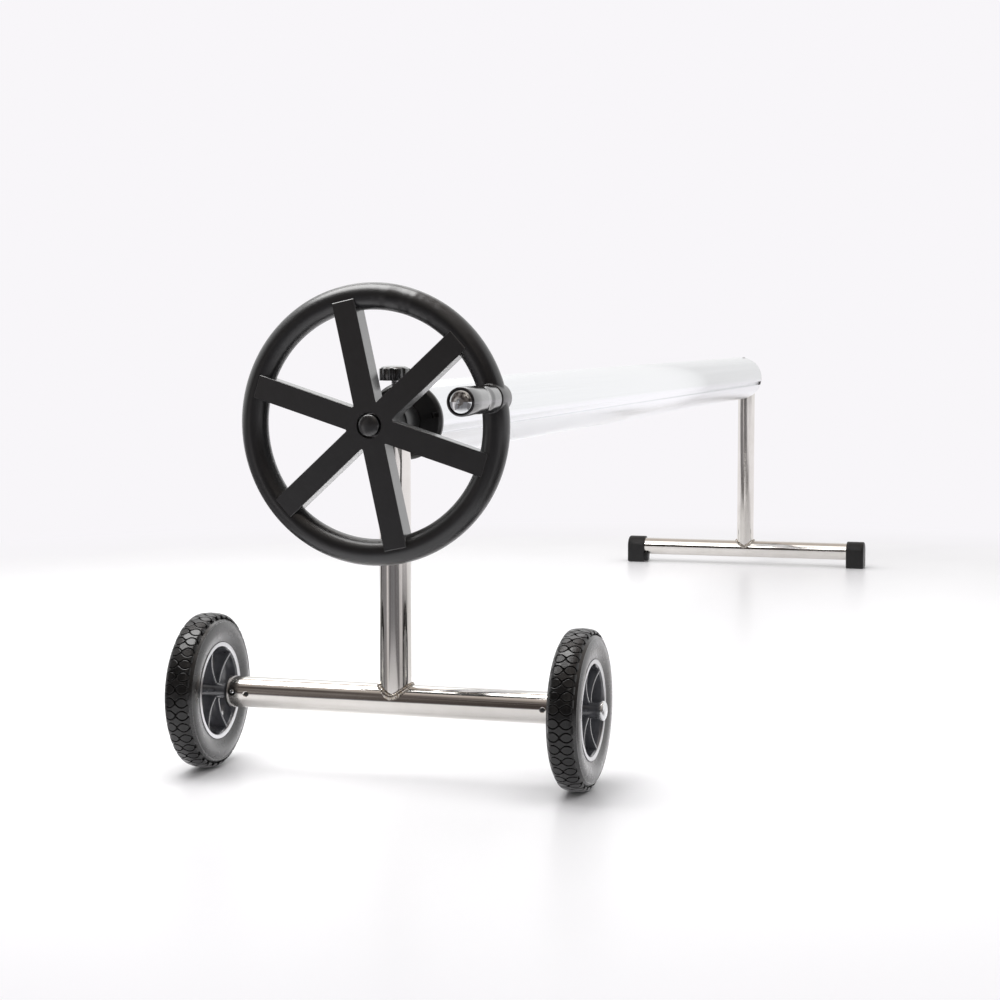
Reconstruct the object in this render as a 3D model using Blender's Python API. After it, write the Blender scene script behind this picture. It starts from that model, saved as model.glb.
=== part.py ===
"""Pool cover reel: two stainless stands, a grooved aluminium reel tube, a hand wheel and a brake.

Metres, +Z up. The origin is on the floor under the reel axis, midway along the whole length. The reel
axis runs along X, with the hand wheel and the wheeled stand at the -X end.
"""

import math

import bmesh
import bpy

# Fits
SEAT_GAP = 0.0003
RUNNING_GAP = 0.0005
BORE_GAP = 0.0004

# Whole reel
AXIS_HEIGHT = 0.450
STAND_SPACING = 2.500

# Stand tubes
TUBE_DIAMETER = 0.040
TUBE_WALL = 0.0015
NEAR_BAR_LENGTH = 0.447
FAR_BAR_LENGTH = 0.560
FAR_BAR_HEIGHT = 0.038
DRAIN_HOLE_DIAMETER = 0.005
DRAIN_HOLE_INSET = 0.0265

# Bearing housings on the posts
BARREL_DIAMETER = 0.050
BARREL_LENGTH = 0.048
BARREL_BORE = 0.032
NECK_DROP = 0.028
SPIGOT_LENGTH = 0.040
BUSH_FLANGE_DIAMETER = 0.041
BUSH_FLANGE_THICKNESS = 0.0015
POST_SCREW_DROP = 0.020

# Brake on the near housing
BRAKE_BOSS_DIAMETER = 0.020
BRAKE_BOSS_HEIGHT = 0.008
INSERT_DIAMETER = 0.012
INSERT_LENGTH = 0.015
STUD_DIAMETER = 0.008
BRAKE_TRAVEL = 0.004
PAD_DIAMETER = 0.0072
PAD_HEIGHT = 0.004
KNOB_DIAMETER = 0.039
KNOB_HEIGHT = 0.0145
KNOB_DOME = 0.004
KNOB_CLEARANCE = 0.019
KNOB_LOBES = 8
KNOB_LOBE_DEPTH = 0.0016
STUD_IN_KNOB = 0.010

# Shafts and pins
SHAFT_DIAMETER = 0.025
PIN_DIAMETER = 0.005
WHEEL_PIN_DIAMETER = 0.006
PIN_INSET = 0.0006

# Reel tube
REEL_DIAMETER = 0.098
REEL_WALL = 0.0025
GROOVE_WIDTH = 0.008
GROOVE_DEPTH = 0.003
GROOVE_WALL = 0.003
GROOVE_ANGLE = math.radians(-13.0)
NEAR_TUBE_OFFSET = 0.046
FAR_TUBE_OFFSET = 0.082

# Reel plugs
PLUG_FLANGE_THICKNESS = 0.010
PLUG_FLANGE_OVERHANG = 0.0005
PLUG_FLANGE_CHAMFER = 0.004
PLUG_DEPTH = 0.055
PLUG_HUB_DIAMETER = 0.040
PLUG_HUB_LENGTH = 0.0112
PLUG_NOTCHES = 6
PLUG_NOTCH_WIDTH = 0.007
PLUG_NOTCH_LENGTH = 0.009
PLUG_NOTCH_DEPTH = 0.005
PLUG_NOTCH_ANGLE = math.radians(-19.0)
TUBE_SCREW_INSET = 0.020

# Far collar
COLLAR_DIAMETER = 0.038
COLLAR_LENGTH = 0.014
COLLAR_SCREW_DIAMETER = 0.005
COLLAR_SCREW_LENGTH = 0.0055
SHAFT_STICK_OUT = 0.004

# Hand wheel
HAND_WHEEL_DIAMETER = 0.344
RIM_DIAMETER = 0.033
HAND_WHEEL_OFFSET = 0.075
SPOKE_COUNT = 6
SPOKE_WIDTH = 0.029
SPOKE_IN_RIM = 0.014
SPOKE_PROUD = 0.001
SPOKE_BACK_INSET = 0.0005
HUB_BOSS_DIAMETER = 0.048
HUB_RECESS_DIAMETER = 0.032
HUB_RECESS_DEPTH = 0.014
HUB_WEB = 0.006
HUB_WASHER_DIAMETER = 0.030
HUB_WASHER_THICKNESS = 0.002
HUB_BOLT_DIAMETER = 0.010
HUB_BOLT_LENGTH = 0.036
HEX_WIDTH = 0.017
HEX_HEIGHT = 0.0064
HUB_CAP_DIAMETER = 0.027
HUB_CAP_WALL = 0.0023
HUB_CAP_HEIGHT = 0.0155
HUB_CAP_DOME = 0.0035

# Crank handle on the rim
HANDLE_ANGLE = math.radians(12.4)
HANDLE_BOSS_DIAMETER = 0.036
HANDLE_BOSS_FRONT = 0.003
HANDLE_BOSS_REAR = 0.0015
HANDLE_WASHER_DIAMETER = 0.0336
HANDLE_WASHER_THICKNESS = 0.0015
GRIP_LENGTH = 0.107
GRIP_DIAMETER = 0.034
GRIP_WAIST_DIAMETER = 0.0306
GRIP_WAIST_OFFSET = 0.037
GRIP_WAIST_WIDTH = 0.012
GRIP_LIP = 0.001
GRIP_BOLT_DIAMETER = 0.010
GRIP_HEAD_DIAMETER = 0.0268
GRIP_HEAD_HEIGHT = 0.006
GRIP_HEAD_DOME = 0.003
GRIP_RECESS_DEPTH = 0.007
SOCKET_WIDTH = 0.008
SOCKET_DEPTH = 0.005
NUT_HEIGHT = 0.008

# Transport wheels
WHEEL_DIAMETER = 0.200
TYRE_WIDTH = 0.039
TREAD_WIDTH = 0.032
TREAD_CROWN = 0.0008
SHOULDER_DROP = 0.0045
WHEEL_RIM_DIAMETER = 0.125
WHEEL_RIM_WIDTH = 0.0348
RIM_FLANGE_WIDTH = 0.0034
RIM_FLANGE_HEIGHT = 0.0035
RIM_BARREL_WALL = 0.005
RIM_RING_WIDTH = 0.006
WHEEL_RIB_COUNT = 6
WHEEL_RIB_THICKNESS = 0.004
WHEEL_RIB_DEPTH = 0.020
WHEEL_RIB_ANGLE = math.radians(52.0)
WHEEL_HUB_DIAMETER = 0.020
WHEEL_HUB_LENGTH = 0.040
WHEEL_HUB_SHIFT = 0.009
AXLE_DIAMETER = 0.010
AXLE_PLUG_DEPTH = 0.045
AXLE_PLUG_FLANGE = 0.0025
AXLE_IN_PLUG = 0.036
WHEEL_WASHER_DIAMETER = 0.020
WHEEL_WASHER_THICKNESS = 0.0015
CAP_DIAMETER = 0.0245
CAP_HEIGHT = 0.008
CAP_WALL = 0.001
AXLE_SCREW_INSET = 0.0075
AXLE_SCREW_HOLE = 0.0105

# Rubber feet of the far stand
FOOT_LENGTH = 0.041
FOOT_END_WALL = 0.005
FOOT_SIDE_WALL = 0.0035
FOOT_CORNER = 0.004
FOOT_LUG_LENGTH = 0.009
FOOT_LUG_WIDTH = 0.022
FOOT_LUG_HEIGHT = 0.020
FOOT_LUG_LIFT = 0.003

# Small screws: shank diameter, shank length, head diameter, head height
PLUG_SCREW = (0.0042, 0.0120, 0.0082, 0.0030)
POST_SCREW = (0.0042, 0.0120, 0.0090, 0.0028)
TUBE_SCREW = (0.0042, 0.0120, 0.0090, 0.0024)

# Smoothness of round pieces
FINE = 36
ROUND = 24
HEXED = 18
SMALL = 12
RIM_SECTION = 12
OFF_AXIS_TURN = math.radians(2.0)

TUBE_RADIUS = TUBE_DIAMETER / 2
TUBE_BORE_RADIUS = TUBE_RADIUS - TUBE_WALL
SHAFT_RADIUS = SHAFT_DIAMETER / 2
REEL_RADIUS = REEL_DIAMETER / 2
REEL_BORE_RADIUS = REEL_RADIUS - REEL_WALL
AXLE_HEIGHT = WHEEL_DIAMETER / 2
RIM_RADIUS = RIM_DIAMETER / 2
RIM_CENTRE_RADIUS = HAND_WHEEL_DIAMETER / 2 - RIM_RADIUS
SPOKE_REACH = HAND_WHEEL_DIAMETER / 2 - RIM_DIAMETER + SPOKE_IN_RIM
PLUG_FLANGE_RADIUS = REEL_RADIUS + PLUG_FLANGE_OVERHANG
BUSH_END = BARREL_LENGTH / 2 + SEAT_GAP + BUSH_FLANGE_THICKNESS
FOOT_HALF_WIDTH = TUBE_RADIUS + SEAT_GAP + FOOT_SIDE_WALL
BOSS_FRONT_REACH = HAND_WHEEL_OFFSET + RIM_RADIUS + HANDLE_BOSS_FRONT
GRIP_START = SEAT_GAP + HANDLE_WASHER_THICKNESS + RUNNING_GAP
FRONT_REACH = BOSS_FRONT_REACH + GRIP_START + GRIP_LENGTH
REAR_REACH = BARREL_LENGTH / 2 + RUNNING_GAP + COLLAR_LENGTH + SHAFT_STICK_OUT
NEAR_X = (FRONT_REACH - REAR_REACH - STAND_SPACING) / 2
FAR_X = NEAR_X + STAND_SPACING
NEAR_TUBE_END = NEAR_X + NEAR_TUBE_OFFSET
FAR_TUBE_END = FAR_X - FAR_TUBE_OFFSET
WHEEL_PLANE = NEAR_X - HAND_WHEEL_OFFSET
SPOKE_FRONT = WHEEL_PLANE - RIM_RADIUS - SPOKE_PROUD
SPOKE_BACK = WHEEL_PLANE + RIM_RADIUS - SPOKE_BACK_INSET
HUB_FLOOR = SPOKE_FRONT + HUB_RECESS_DEPTH

MATERIALS = {}


def material(name, colour, roughness, metallic):
    """Makes one Principled material with a plain colour, given as linear RGB."""
    if name not in MATERIALS:
        made = bpy.data.materials.new(name)
        made.use_nodes = True
        shader = made.node_tree.nodes["Principled BSDF"]
        shader.inputs["Base Color"].default_value = (*colour, 1.0)
        shader.inputs["Roughness"].default_value = roughness
        shader.inputs["Metallic"].default_value = metallic
        made.diffuse_color = (*colour, 1.0)
        MATERIALS[name] = made
    return MATERIALS[name]


def polished_steel():
    return material("polished_stainless_steel", (0.62, 0.60, 0.57), 0.12, 1.0)


def zinc_steel():
    return material("zinc_plated_steel", (0.55, 0.55, 0.56), 0.30, 1.0)


def satin_aluminium():
    return material("anodised_aluminium", (0.80, 0.80, 0.82), 0.40, 0.8)


def black_plastic():
    return material("black_moulded_nylon", (0.018, 0.018, 0.020), 0.38, 0.0)


def black_rubber():
    return material("black_rubber", (0.012, 0.012, 0.013), 0.75, 0.0)


def grey_plastic():
    return material("grey_moulded_polypropylene", (0.070, 0.070, 0.075), 0.50, 0.0)


def acetal():
    return material("white_acetal", (0.70, 0.70, 0.68), 0.35, 0.0)


def brass():
    return material("brass", (0.65, 0.48, 0.20), 0.30, 1.0)


# Outlines for a turned ring: each gives the radius at an angle, from the ring's own radius


def round_outline(radius, _angle):
    return radius


def hex_outline(radius, angle):
    """A hexagon whose flats lie at the given radius."""
    side = math.pi / 3
    return radius / math.cos((angle + side / 2) % side - side / 2)


def lobed_outline(radius, angle):
    """The star knob's edge, with shallow hollows between its lobes."""
    return radius - KNOB_LOBE_DEPTH * (0.5 - 0.5 * math.cos(KNOB_LOBES * angle)) ** 2


def turned_mesh(name, profile, segments, turn=0.0):
    """Turns a closed loop of (height, radius[, outline]) points about local Z."""
    shape = bmesh.new()
    rings = []
    for height, radius, *outline in profile:
        if radius == 0:
            rings.append([shape.verts.new((0, 0, height))])
            continue
        edge = outline[0] if outline else round_outline
        ring = []
        for step in range(segments):
            angle = turn + 2 * math.pi * step / segments
            reach = edge(radius, angle)
            ring.append(shape.verts.new((reach * math.cos(angle), reach * math.sin(angle), height)))
        rings.append(ring)
    for ring, following in zip(rings, rings[1:] + rings[:1]):
        for step in range(segments):
            after = (step + 1) % segments
            corners = [ring[step % len(ring)], ring[after % len(ring)]]
            corners += [following[after % len(following)], following[step % len(following)]]
            unlike = list(dict.fromkeys(corners))
            if len(unlike) > 2:
                shape.faces.new(unlike)
    bmesh.ops.recalc_face_normals(shape, faces=shape.faces)
    return finished_mesh(name, shape)


def extruded_mesh(name, outline, start, end):
    """Extrudes a flat (x, y) outline along local Z from start to end."""
    shape = bmesh.new()
    bottom = [shape.verts.new((x, y, start)) for x, y in outline]
    face = shape.faces.new(bottom)
    raised = bmesh.ops.extrude_face_region(shape, geom=[face])["geom"]
    moved = [item for item in raised if isinstance(item, bmesh.types.BMVert)]
    bmesh.ops.translate(shape, verts=moved, vec=(0, 0, end - start))
    bmesh.ops.recalc_face_normals(shape, faces=shape.faces)
    return finished_mesh(name, shape)


def finished_mesh(name, shape):
    mesh = bpy.data.meshes.new(name)
    shape.to_mesh(mesh)
    shape.free()
    mesh.shade_smooth()
    mesh.set_sharp_from_angle(angle=math.radians(35))
    return mesh


TURN = {
    "+X": (0, math.pi / 2, 0),
    "-X": (0, -math.pi / 2, 0),
    "+Y": (-math.pi / 2, 0, 0),
    "-Y": (-math.pi / 2, 0, math.pi),
    "+Z": (0, 0, 0),
    "-Z": (math.pi, 0, 0),
}


def place(mesh, location, axis="+Z", finish=None, parent=None):
    """Adds an object whose local Z points along the named axis, named after its mesh."""
    made = bpy.data.objects.new(mesh.name, mesh)
    bpy.context.scene.collection.objects.link(made)
    made.location = location
    made.rotation_euler = TURN[axis]
    if finish:
        made.data.materials.append(finish)
    if parent:
        attach(made, parent)
    return made


def attach(child, parent):
    """Parents an object to an unrotated empty and keeps its place in the world."""
    child.parent = parent
    child.location = [own - base for own, base in zip(child.location, parent.location)]


def joint_empty(name, location):
    empty = bpy.data.objects.new(name, None)
    bpy.context.scene.collection.objects.link(empty)
    empty.location = location
    empty.empty_display_size = 0.03
    return empty


def combine(target, other, operation):
    """Adds a Boolean with a helper object, which is hidden from renders."""
    other.hide_render = True
    other.display_type = "WIRE"
    change = target.modifiers.new(f"{operation.lower()}_{other.name}", "BOOLEAN")
    change.operation = operation
    change.object = other


def cut(target, other):
    combine(target, other, "DIFFERENCE")


def join(target, other):
    combine(target, other, "UNION")


def rod(name, location, axis, start, end, radius, segments=SMALL):
    """A plain round helper for cuts and unions, turned so that no corner lies on a plane of its axis."""
    profile = [(start, 0), (start, radius), (end, radius), (end, 0)]
    return place(turned_mesh(name, profile, segments, OFF_AXIS_TURN), location, axis)


def tube_profile(start, end, outer, inner):
    return [(start, inner), (start, outer), (end, outer), (end, inner)]


def pan_screw(name, sizes, location, axis, finish, parent=None):
    """A small domed screw. Local Z points from tip to head, with the head's seat at the origin."""
    shank, length, head, height = sizes
    profile = [(-length, 0), (-length, shank * 0.3), (-length + shank * 0.4, shank / 2)]
    profile += [(0, shank / 2), (0, head / 2), (height * 0.45, head / 2), (height * 0.85, head * 0.33)]
    profile += [(height, 0)]
    return place(turned_mesh(name, profile, SMALL), location, axis, finish, parent)


# Stands


def coped_post(name, x, bar_height, screw_hole_height):
    """A post tube cut to sit on its cross tube, open at the top for the housing's spigot."""
    top = AXIS_HEIGHT - NECK_DROP
    profile = tube_profile(bar_height, top, TUBE_RADIUS, TUBE_BORE_RADIUS)
    post = place(turned_mesh(name, profile, ROUND), (x, 0, 0), "+Z", polished_steel())
    reach = TUBE_DIAMETER
    seat_radius = TUBE_RADIUS + SEAT_GAP
    cut(post, rod(f"saddle_{name}", (x, 0, bar_height), "+Y", -reach, reach, seat_radius, FINE))
    screw_way = POST_SCREW[0] / 2 + SEAT_GAP
    cut(post, rod(f"hole_{name}", (x, 0, screw_hole_height), "+X", 0, reach, screw_way))
    return post


def cross_tube(name, x, height, length):
    half = length / 2
    profile = tube_profile(-half, half, TUBE_RADIUS, TUBE_BORE_RADIUS)
    return place(turned_mesh(name, profile, ROUND), (x, 0, height), "+Y", polished_steel())


def bearing_housing(name, x):
    """A barrel on a neck and spigot that plug into the post's open top."""
    housing_half = BARREL_LENGTH / 2
    barrel = turned_mesh(
        name, tube_profile(-housing_half, housing_half, BARREL_DIAMETER / 2, BARREL_BORE / 2), ROUND
    )
    housing = place(barrel, (x, 0, AXIS_HEIGHT), "+X", black_plastic())
    spigot_radius = TUBE_BORE_RADIUS - SEAT_GAP
    seat = -NECK_DROP + SEAT_GAP
    inside = -(BARREL_BORE + BARREL_DIAMETER) / 4
    profile = [(seat - SPIGOT_LENGTH, 0), (seat - SPIGOT_LENGTH, spigot_radius), (seat, spigot_radius)]
    profile += [(seat, TUBE_RADIUS), (inside, TUBE_RADIUS), (inside, 0)]
    neck = place(turned_mesh(f"neck_{name}", profile, ROUND), (x, 0, AXIS_HEIGHT))
    join(housing, neck)
    bore = rod(
        f"bore_{name}", (x, 0, AXIS_HEIGHT), "+X", -BARREL_LENGTH, BARREL_LENGTH, BARREL_BORE / 2, ROUND
    )
    cut(housing, bore)
    screw_way = POST_SCREW[0] / 2 + SEAT_GAP
    cut(housing, rod(f"pilot_{name}", (x, 0, post_screw_height()), "+X", 0, TUBE_RADIUS, screw_way))
    return housing


def post_screw_height():
    return AXIS_HEIGHT - NECK_DROP - POST_SCREW_DROP


def flanged_bush(name, x, axis):
    """A sleeve in the housing. Its flange is at the local +Z end."""
    half = BARREL_LENGTH / 2
    outer = BARREL_BORE / 2 - SEAT_GAP
    inner = SHAFT_RADIUS + BORE_GAP
    flange = BUSH_FLANGE_DIAMETER / 2
    profile = [(-half, inner), (-half, outer), (half + SEAT_GAP, outer), (half + SEAT_GAP, flange)]
    profile += [(BUSH_END, flange), (BUSH_END, inner)]
    return place(turned_mesh(name, profile, ROUND), (x, 0, AXIS_HEIGHT), axis, acetal())


def post_screw(name, x):
    location = (x + TUBE_RADIUS + SEAT_GAP, 0, post_screw_height())
    return pan_screw(name, POST_SCREW, location, "+X", zinc_steel())


def near_stand():
    bar = cross_tube("near_cross_tube", NEAR_X, AXLE_HEIGHT, NEAR_BAR_LENGTH)
    for side, word in ((1, "left"), (-1, "right")):
        for inset, radius, label in (
            (DRAIN_HOLE_INSET, DRAIN_HOLE_DIAMETER / 2, "drain"),
            (AXLE_SCREW_INSET, AXLE_SCREW_HOLE / 2, "screw"),
        ):
            spot = (NEAR_X, side * (NEAR_BAR_LENGTH / 2 - inset), AXLE_HEIGHT)
            hole = rod(f"{label}_hole_{word}", spot, "-X", TUBE_RADIUS / 2, TUBE_DIAMETER, radius)
            cut(bar, hole)
    coped_post("near_post", NEAR_X, AXLE_HEIGHT, post_screw_height())
    housing = bearing_housing("near_bearing_housing", NEAR_X)
    post_screw("near_post_screw", NEAR_X)
    bush = flanged_bush("near_bush", NEAR_X, "-X")
    brake(housing, bush)


def far_stand():
    cross_tube("far_cross_tube", FAR_X, FAR_BAR_HEIGHT, FAR_BAR_LENGTH)
    coped_post("far_post", FAR_X, FAR_BAR_HEIGHT, post_screw_height())
    bearing_housing("far_bearing_housing", FAR_X)
    post_screw("far_post_screw", FAR_X)
    flanged_bush("far_bush", FAR_X, "-X")
    foot_cap("foot_cap_left", "+Y")
    foot_cap("foot_cap_right", "-Y")


def foot_cap(name, axis):
    """A rubber cap with a round top, a flat sole and a small lug. Local Z points outwards along the bar."""
    steps = 12
    outline = []
    for step in range(steps + 1):
        angle = math.pi * step / steps
        outline.append((FOOT_HALF_WIDTH * math.cos(angle), -FOOT_HALF_WIDTH * math.sin(angle)))
    outline.append((-FOOT_HALF_WIDTH, FAR_BAR_HEIGHT - FOOT_CORNER))
    outline.append((FOOT_CORNER - FOOT_HALF_WIDTH, FAR_BAR_HEIGHT))
    outline.append((FOOT_HALF_WIDTH - FOOT_CORNER, FAR_BAR_HEIGHT))
    outline.append((FOOT_HALF_WIDTH, FAR_BAR_HEIGHT - FOOT_CORNER))
    bar_end = FAR_BAR_LENGTH / 2 + SEAT_GAP
    outer_end = bar_end + FOOT_END_WALL
    inner_end = outer_end - FOOT_LENGTH
    spot = (FAR_X, 0, FAR_BAR_HEIGHT)
    cap = place(extruded_mesh(name, outline, inner_end, outer_end), spot, axis, black_rubber())
    edge = FOOT_CORNER - FOOT_HALF_WIDTH
    low = FAR_BAR_HEIGHT - FOOT_LUG_LIFT
    high = low - FOOT_LUG_HEIGHT
    far_edge = edge + FOOT_LUG_WIDTH
    lug_outline = [(edge, low), (edge, high), (far_edge, high), (far_edge, low)]
    lug_start = inner_end - FOOT_LUG_LENGTH
    lug = extruded_mesh(f"lug_{name}", lug_outline, lug_start, outer_end - FOOT_END_WALL / 2)
    join(cap, place(lug, spot, axis))
    socket_start = inner_end - 2 * FOOT_LUG_LENGTH
    cut(cap, rod(f"socket_{name}", spot, axis, socket_start, bar_end, TUBE_RADIUS + SEAT_GAP, ROUND))
    return cap


# Brake


def brake(housing, bush):
    """A star knob and stud in a brass insert, which press a pad on the shaft."""
    boss_top = BARREL_DIAMETER / 2 + BRAKE_BOSS_HEIGHT
    spot = (NEAR_X, 0, AXIS_HEIGHT)
    boss_start = BARREL_BORE / 2 + SEAT_GAP
    join(housing, rod("brake_boss", spot, "+Z", boss_start, boss_top, BRAKE_BOSS_DIAMETER / 2, ROUND))
    insert_end = boss_top - INSERT_LENGTH
    insert_way = INSERT_DIAMETER / 2 + SEAT_GAP
    cut(housing, rod("insert_hole", spot, "+Z", insert_end - SEAT_GAP, 2 * boss_top, insert_way))
    stud_way = STUD_DIAMETER / 2 + SEAT_GAP
    cut(housing, rod("stud_hole", spot, "+Z", SHAFT_RADIUS, boss_top, stud_way))
    cut(bush, rod("bush_hole", spot, "+Z", 0, boss_top, stud_way))
    insert = tube_profile(insert_end, boss_top, INSERT_DIAMETER / 2, stud_way)
    place(turned_mesh("brake_insert", insert, SMALL), spot, "+Z", brass())
    pad_start = SHAFT_RADIUS + SEAT_GAP + BRAKE_TRAVEL
    stud_tip = pad_start + PAD_HEIGHT + SEAT_GAP
    knob_start = boss_top + KNOB_CLEARANCE
    turning = joint_empty("brake_axis", (NEAR_X, 0, AXIS_HEIGHT))
    pad_end = pad_start + PAD_HEIGHT
    pad = [(pad_start, 0), (pad_start, PAD_DIAMETER / 2), (pad_end, PAD_DIAMETER / 2), (pad_end, 0)]
    place(turned_mesh("brake_pad", pad, SMALL), spot, "+Z", acetal(), turning)
    radius = STUD_DIAMETER / 2
    top = knob_start + STUD_IN_KNOB
    tip = radius * 0.2
    stud = [(stud_tip, 0), (stud_tip, radius - tip), (stud_tip + tip, radius), (top, radius), (top, 0)]
    place(turned_mesh("brake_stud", stud, SMALL), spot, "+Z", zinc_steel(), turning)
    reach = KNOB_DIAMETER / 2
    edge = 0.0012
    socket = radius + SEAT_GAP
    knob_end = knob_start + KNOB_HEIGHT
    knob = [(top + SEAT_GAP, 0), (top + SEAT_GAP, socket), (knob_start, socket)]
    knob += [(knob_start, reach - edge, lobed_outline), (knob_start + edge, reach, lobed_outline)]
    knob += [(knob_end - edge, reach, lobed_outline), (knob_end, reach - edge, lobed_outline)]
    knob += [(knob_end + KNOB_DOME * 0.7, reach * 0.55), (knob_end + KNOB_DOME, 0)]
    place(turned_mesh("brake_knob", knob, KNOB_LOBES * 6), spot, "+Z", black_plastic(), turning)


# Transport wheels


def wheel_set(side, word):
    """The plug, stub axle, washer, wheel and cap at one end of the near cross tube."""
    bar_end = NEAR_BAR_LENGTH / 2
    axis = "+Y" if side > 0 else "-Y"
    spot = (NEAR_X, 0, AXLE_HEIGHT)
    plug_radius = TUBE_BORE_RADIUS - SEAT_GAP
    axle_radius = AXLE_DIAMETER / 2
    flange_start = bar_end + SEAT_GAP
    flange_end = flange_start + AXLE_PLUG_FLANGE
    axle_start = flange_end - AXLE_IN_PLUG
    hole = axle_radius + SEAT_GAP
    blind_end = axle_start - SEAT_GAP
    plug = [(blind_end, 0), (blind_end, hole), (flange_end, hole), (flange_end, TUBE_RADIUS)]
    plug += [(flange_start, TUBE_RADIUS), (flange_start, plug_radius)]
    plug += [(bar_end - AXLE_PLUG_DEPTH, plug_radius), (bar_end - AXLE_PLUG_DEPTH, 0)]
    body = place(turned_mesh(f"axle_plug_{word}", plug, ROUND), spot, axis, black_plastic())
    screw_seat = plug_radius - 0.001
    screw_spot = (NEAR_X, side * (bar_end - AXLE_SCREW_INSET), AXLE_HEIGHT)
    reach = TUBE_DIAMETER
    cut(body, rod(f"spot_face_{word}", screw_spot, "-X", screw_seat, reach, AXLE_SCREW_HOLE / 2))
    pilot_end = screw_seat - PLUG_SCREW[1] - SEAT_GAP
    cut(body, rod(f"pilot_{word}", screw_spot, "-X", pilot_end, reach, PLUG_SCREW[0] / 2 + SEAT_GAP))
    head_seat = (NEAR_X - screw_seat - SEAT_GAP, screw_spot[1], AXLE_HEIGHT)
    pan_screw(f"axle_plug_screw_{word}", PLUG_SCREW, head_seat, "-X", zinc_steel())

    washer_start = flange_end + SEAT_GAP
    washer_end = washer_start + WHEEL_WASHER_THICKNESS
    hub_start = washer_end + RUNNING_GAP
    hub_end = hub_start + WHEEL_HUB_LENGTH
    cap_start = hub_end + RUNNING_GAP
    axle_end = cap_start + CAP_HEIGHT / 2
    washer = tube_profile(washer_start, washer_end, WHEEL_WASHER_DIAMETER / 2, hole)
    place(turned_mesh(f"wheel_washer_{word}", washer, SMALL), spot, axis, zinc_steel())
    tip = axle_radius * 0.2
    axle = [(axle_start, 0), (axle_start, axle_radius), (axle_end - tip, axle_radius)]
    axle += [(axle_end, axle_radius - tip), (axle_end, 0)]
    place(turned_mesh(f"stub_axle_{word}", axle, SMALL), spot, axis, zinc_steel())
    cap_radius = CAP_DIAMETER / 2
    top = cap_start + CAP_HEIGHT
    cap = [(cap_start, hole), (cap_start, cap_radius), (cap_start + CAP_HEIGHT * 0.45, cap_radius)]
    cap += [(cap_start + CAP_HEIGHT * 0.8, cap_radius * 0.72), (top, 0), (top - CAP_WALL, 0)]
    cap += [(cap_start + CAP_HEIGHT * 0.72, cap_radius * 0.66)]
    cap += [(cap_start + CAP_HEIGHT * 0.45, cap_radius - CAP_WALL)]
    cap += [(cap_start + CAP_WALL, cap_radius - CAP_WALL), (cap_start + CAP_WALL, hole)]
    place(turned_mesh(f"wheel_cap_{word}", cap, SMALL), spot, axis, zinc_steel())

    hub_middle = side * (hub_start + hub_end) / 2
    centre = (NEAR_X, hub_middle + WHEEL_HUB_SHIFT, AXLE_HEIGHT)
    turning = joint_empty(f"wheel_axis_{word}", centre)
    wheel_rim(f"wheel_rim_{word}", centre, turning)
    wheel_tyre(f"wheel_tyre_{word}", centre, turning)


def wheel_rim(name, centre, parent):
    """Barrel, ribs and hub. Local Z is +Y, and the hub is longer towards -Y, on both wheels alike."""
    half = WHEEL_RIM_WIDTH / 2
    outer = WHEEL_RIM_DIAMETER / 2
    well = outer - RIM_FLANGE_HEIGHT
    seat = half - RIM_FLANGE_WIDTH
    ring = outer - RIM_RING_WIDTH
    inner = well - RIM_BARREL_WALL
    right = [(half, ring), (half, outer), (seat, outer), (seat, well)]
    profile = right + [(-z, r) for z, r in reversed(right)]
    profile += [(-seat, min(inner, ring - 0.0005)), (seat, min(inner, ring - 0.0005))]
    rim = place(turned_mesh(name, profile, FINE), centre, "+Y", grey_plastic(), parent)
    hub_radius = WHEEL_HUB_DIAMETER / 2
    bore = AXLE_DIAMETER / 2 + BORE_GAP
    hub_half = WHEEL_HUB_LENGTH / 2
    shift = WHEEL_HUB_SHIFT
    hub_profile = tube_profile(-hub_half - shift, hub_half - shift, hub_radius, bore)
    ribs = place(rib_star_mesh(f"ribs_{name}"), centre, "+Y", None, parent)
    join(rim, ribs)
    hub = place(turned_mesh(f"hub_{name}", hub_profile, ROUND), centre, "+Y", None, parent)
    join(rim, hub)
    hole = rod(f"axle_hole_{name}", centre, "+Y", -WHEEL_HUB_LENGTH, WHEEL_HUB_LENGTH, bore, ROUND)
    attach(hole, parent)
    cut(rim, hole)


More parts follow.
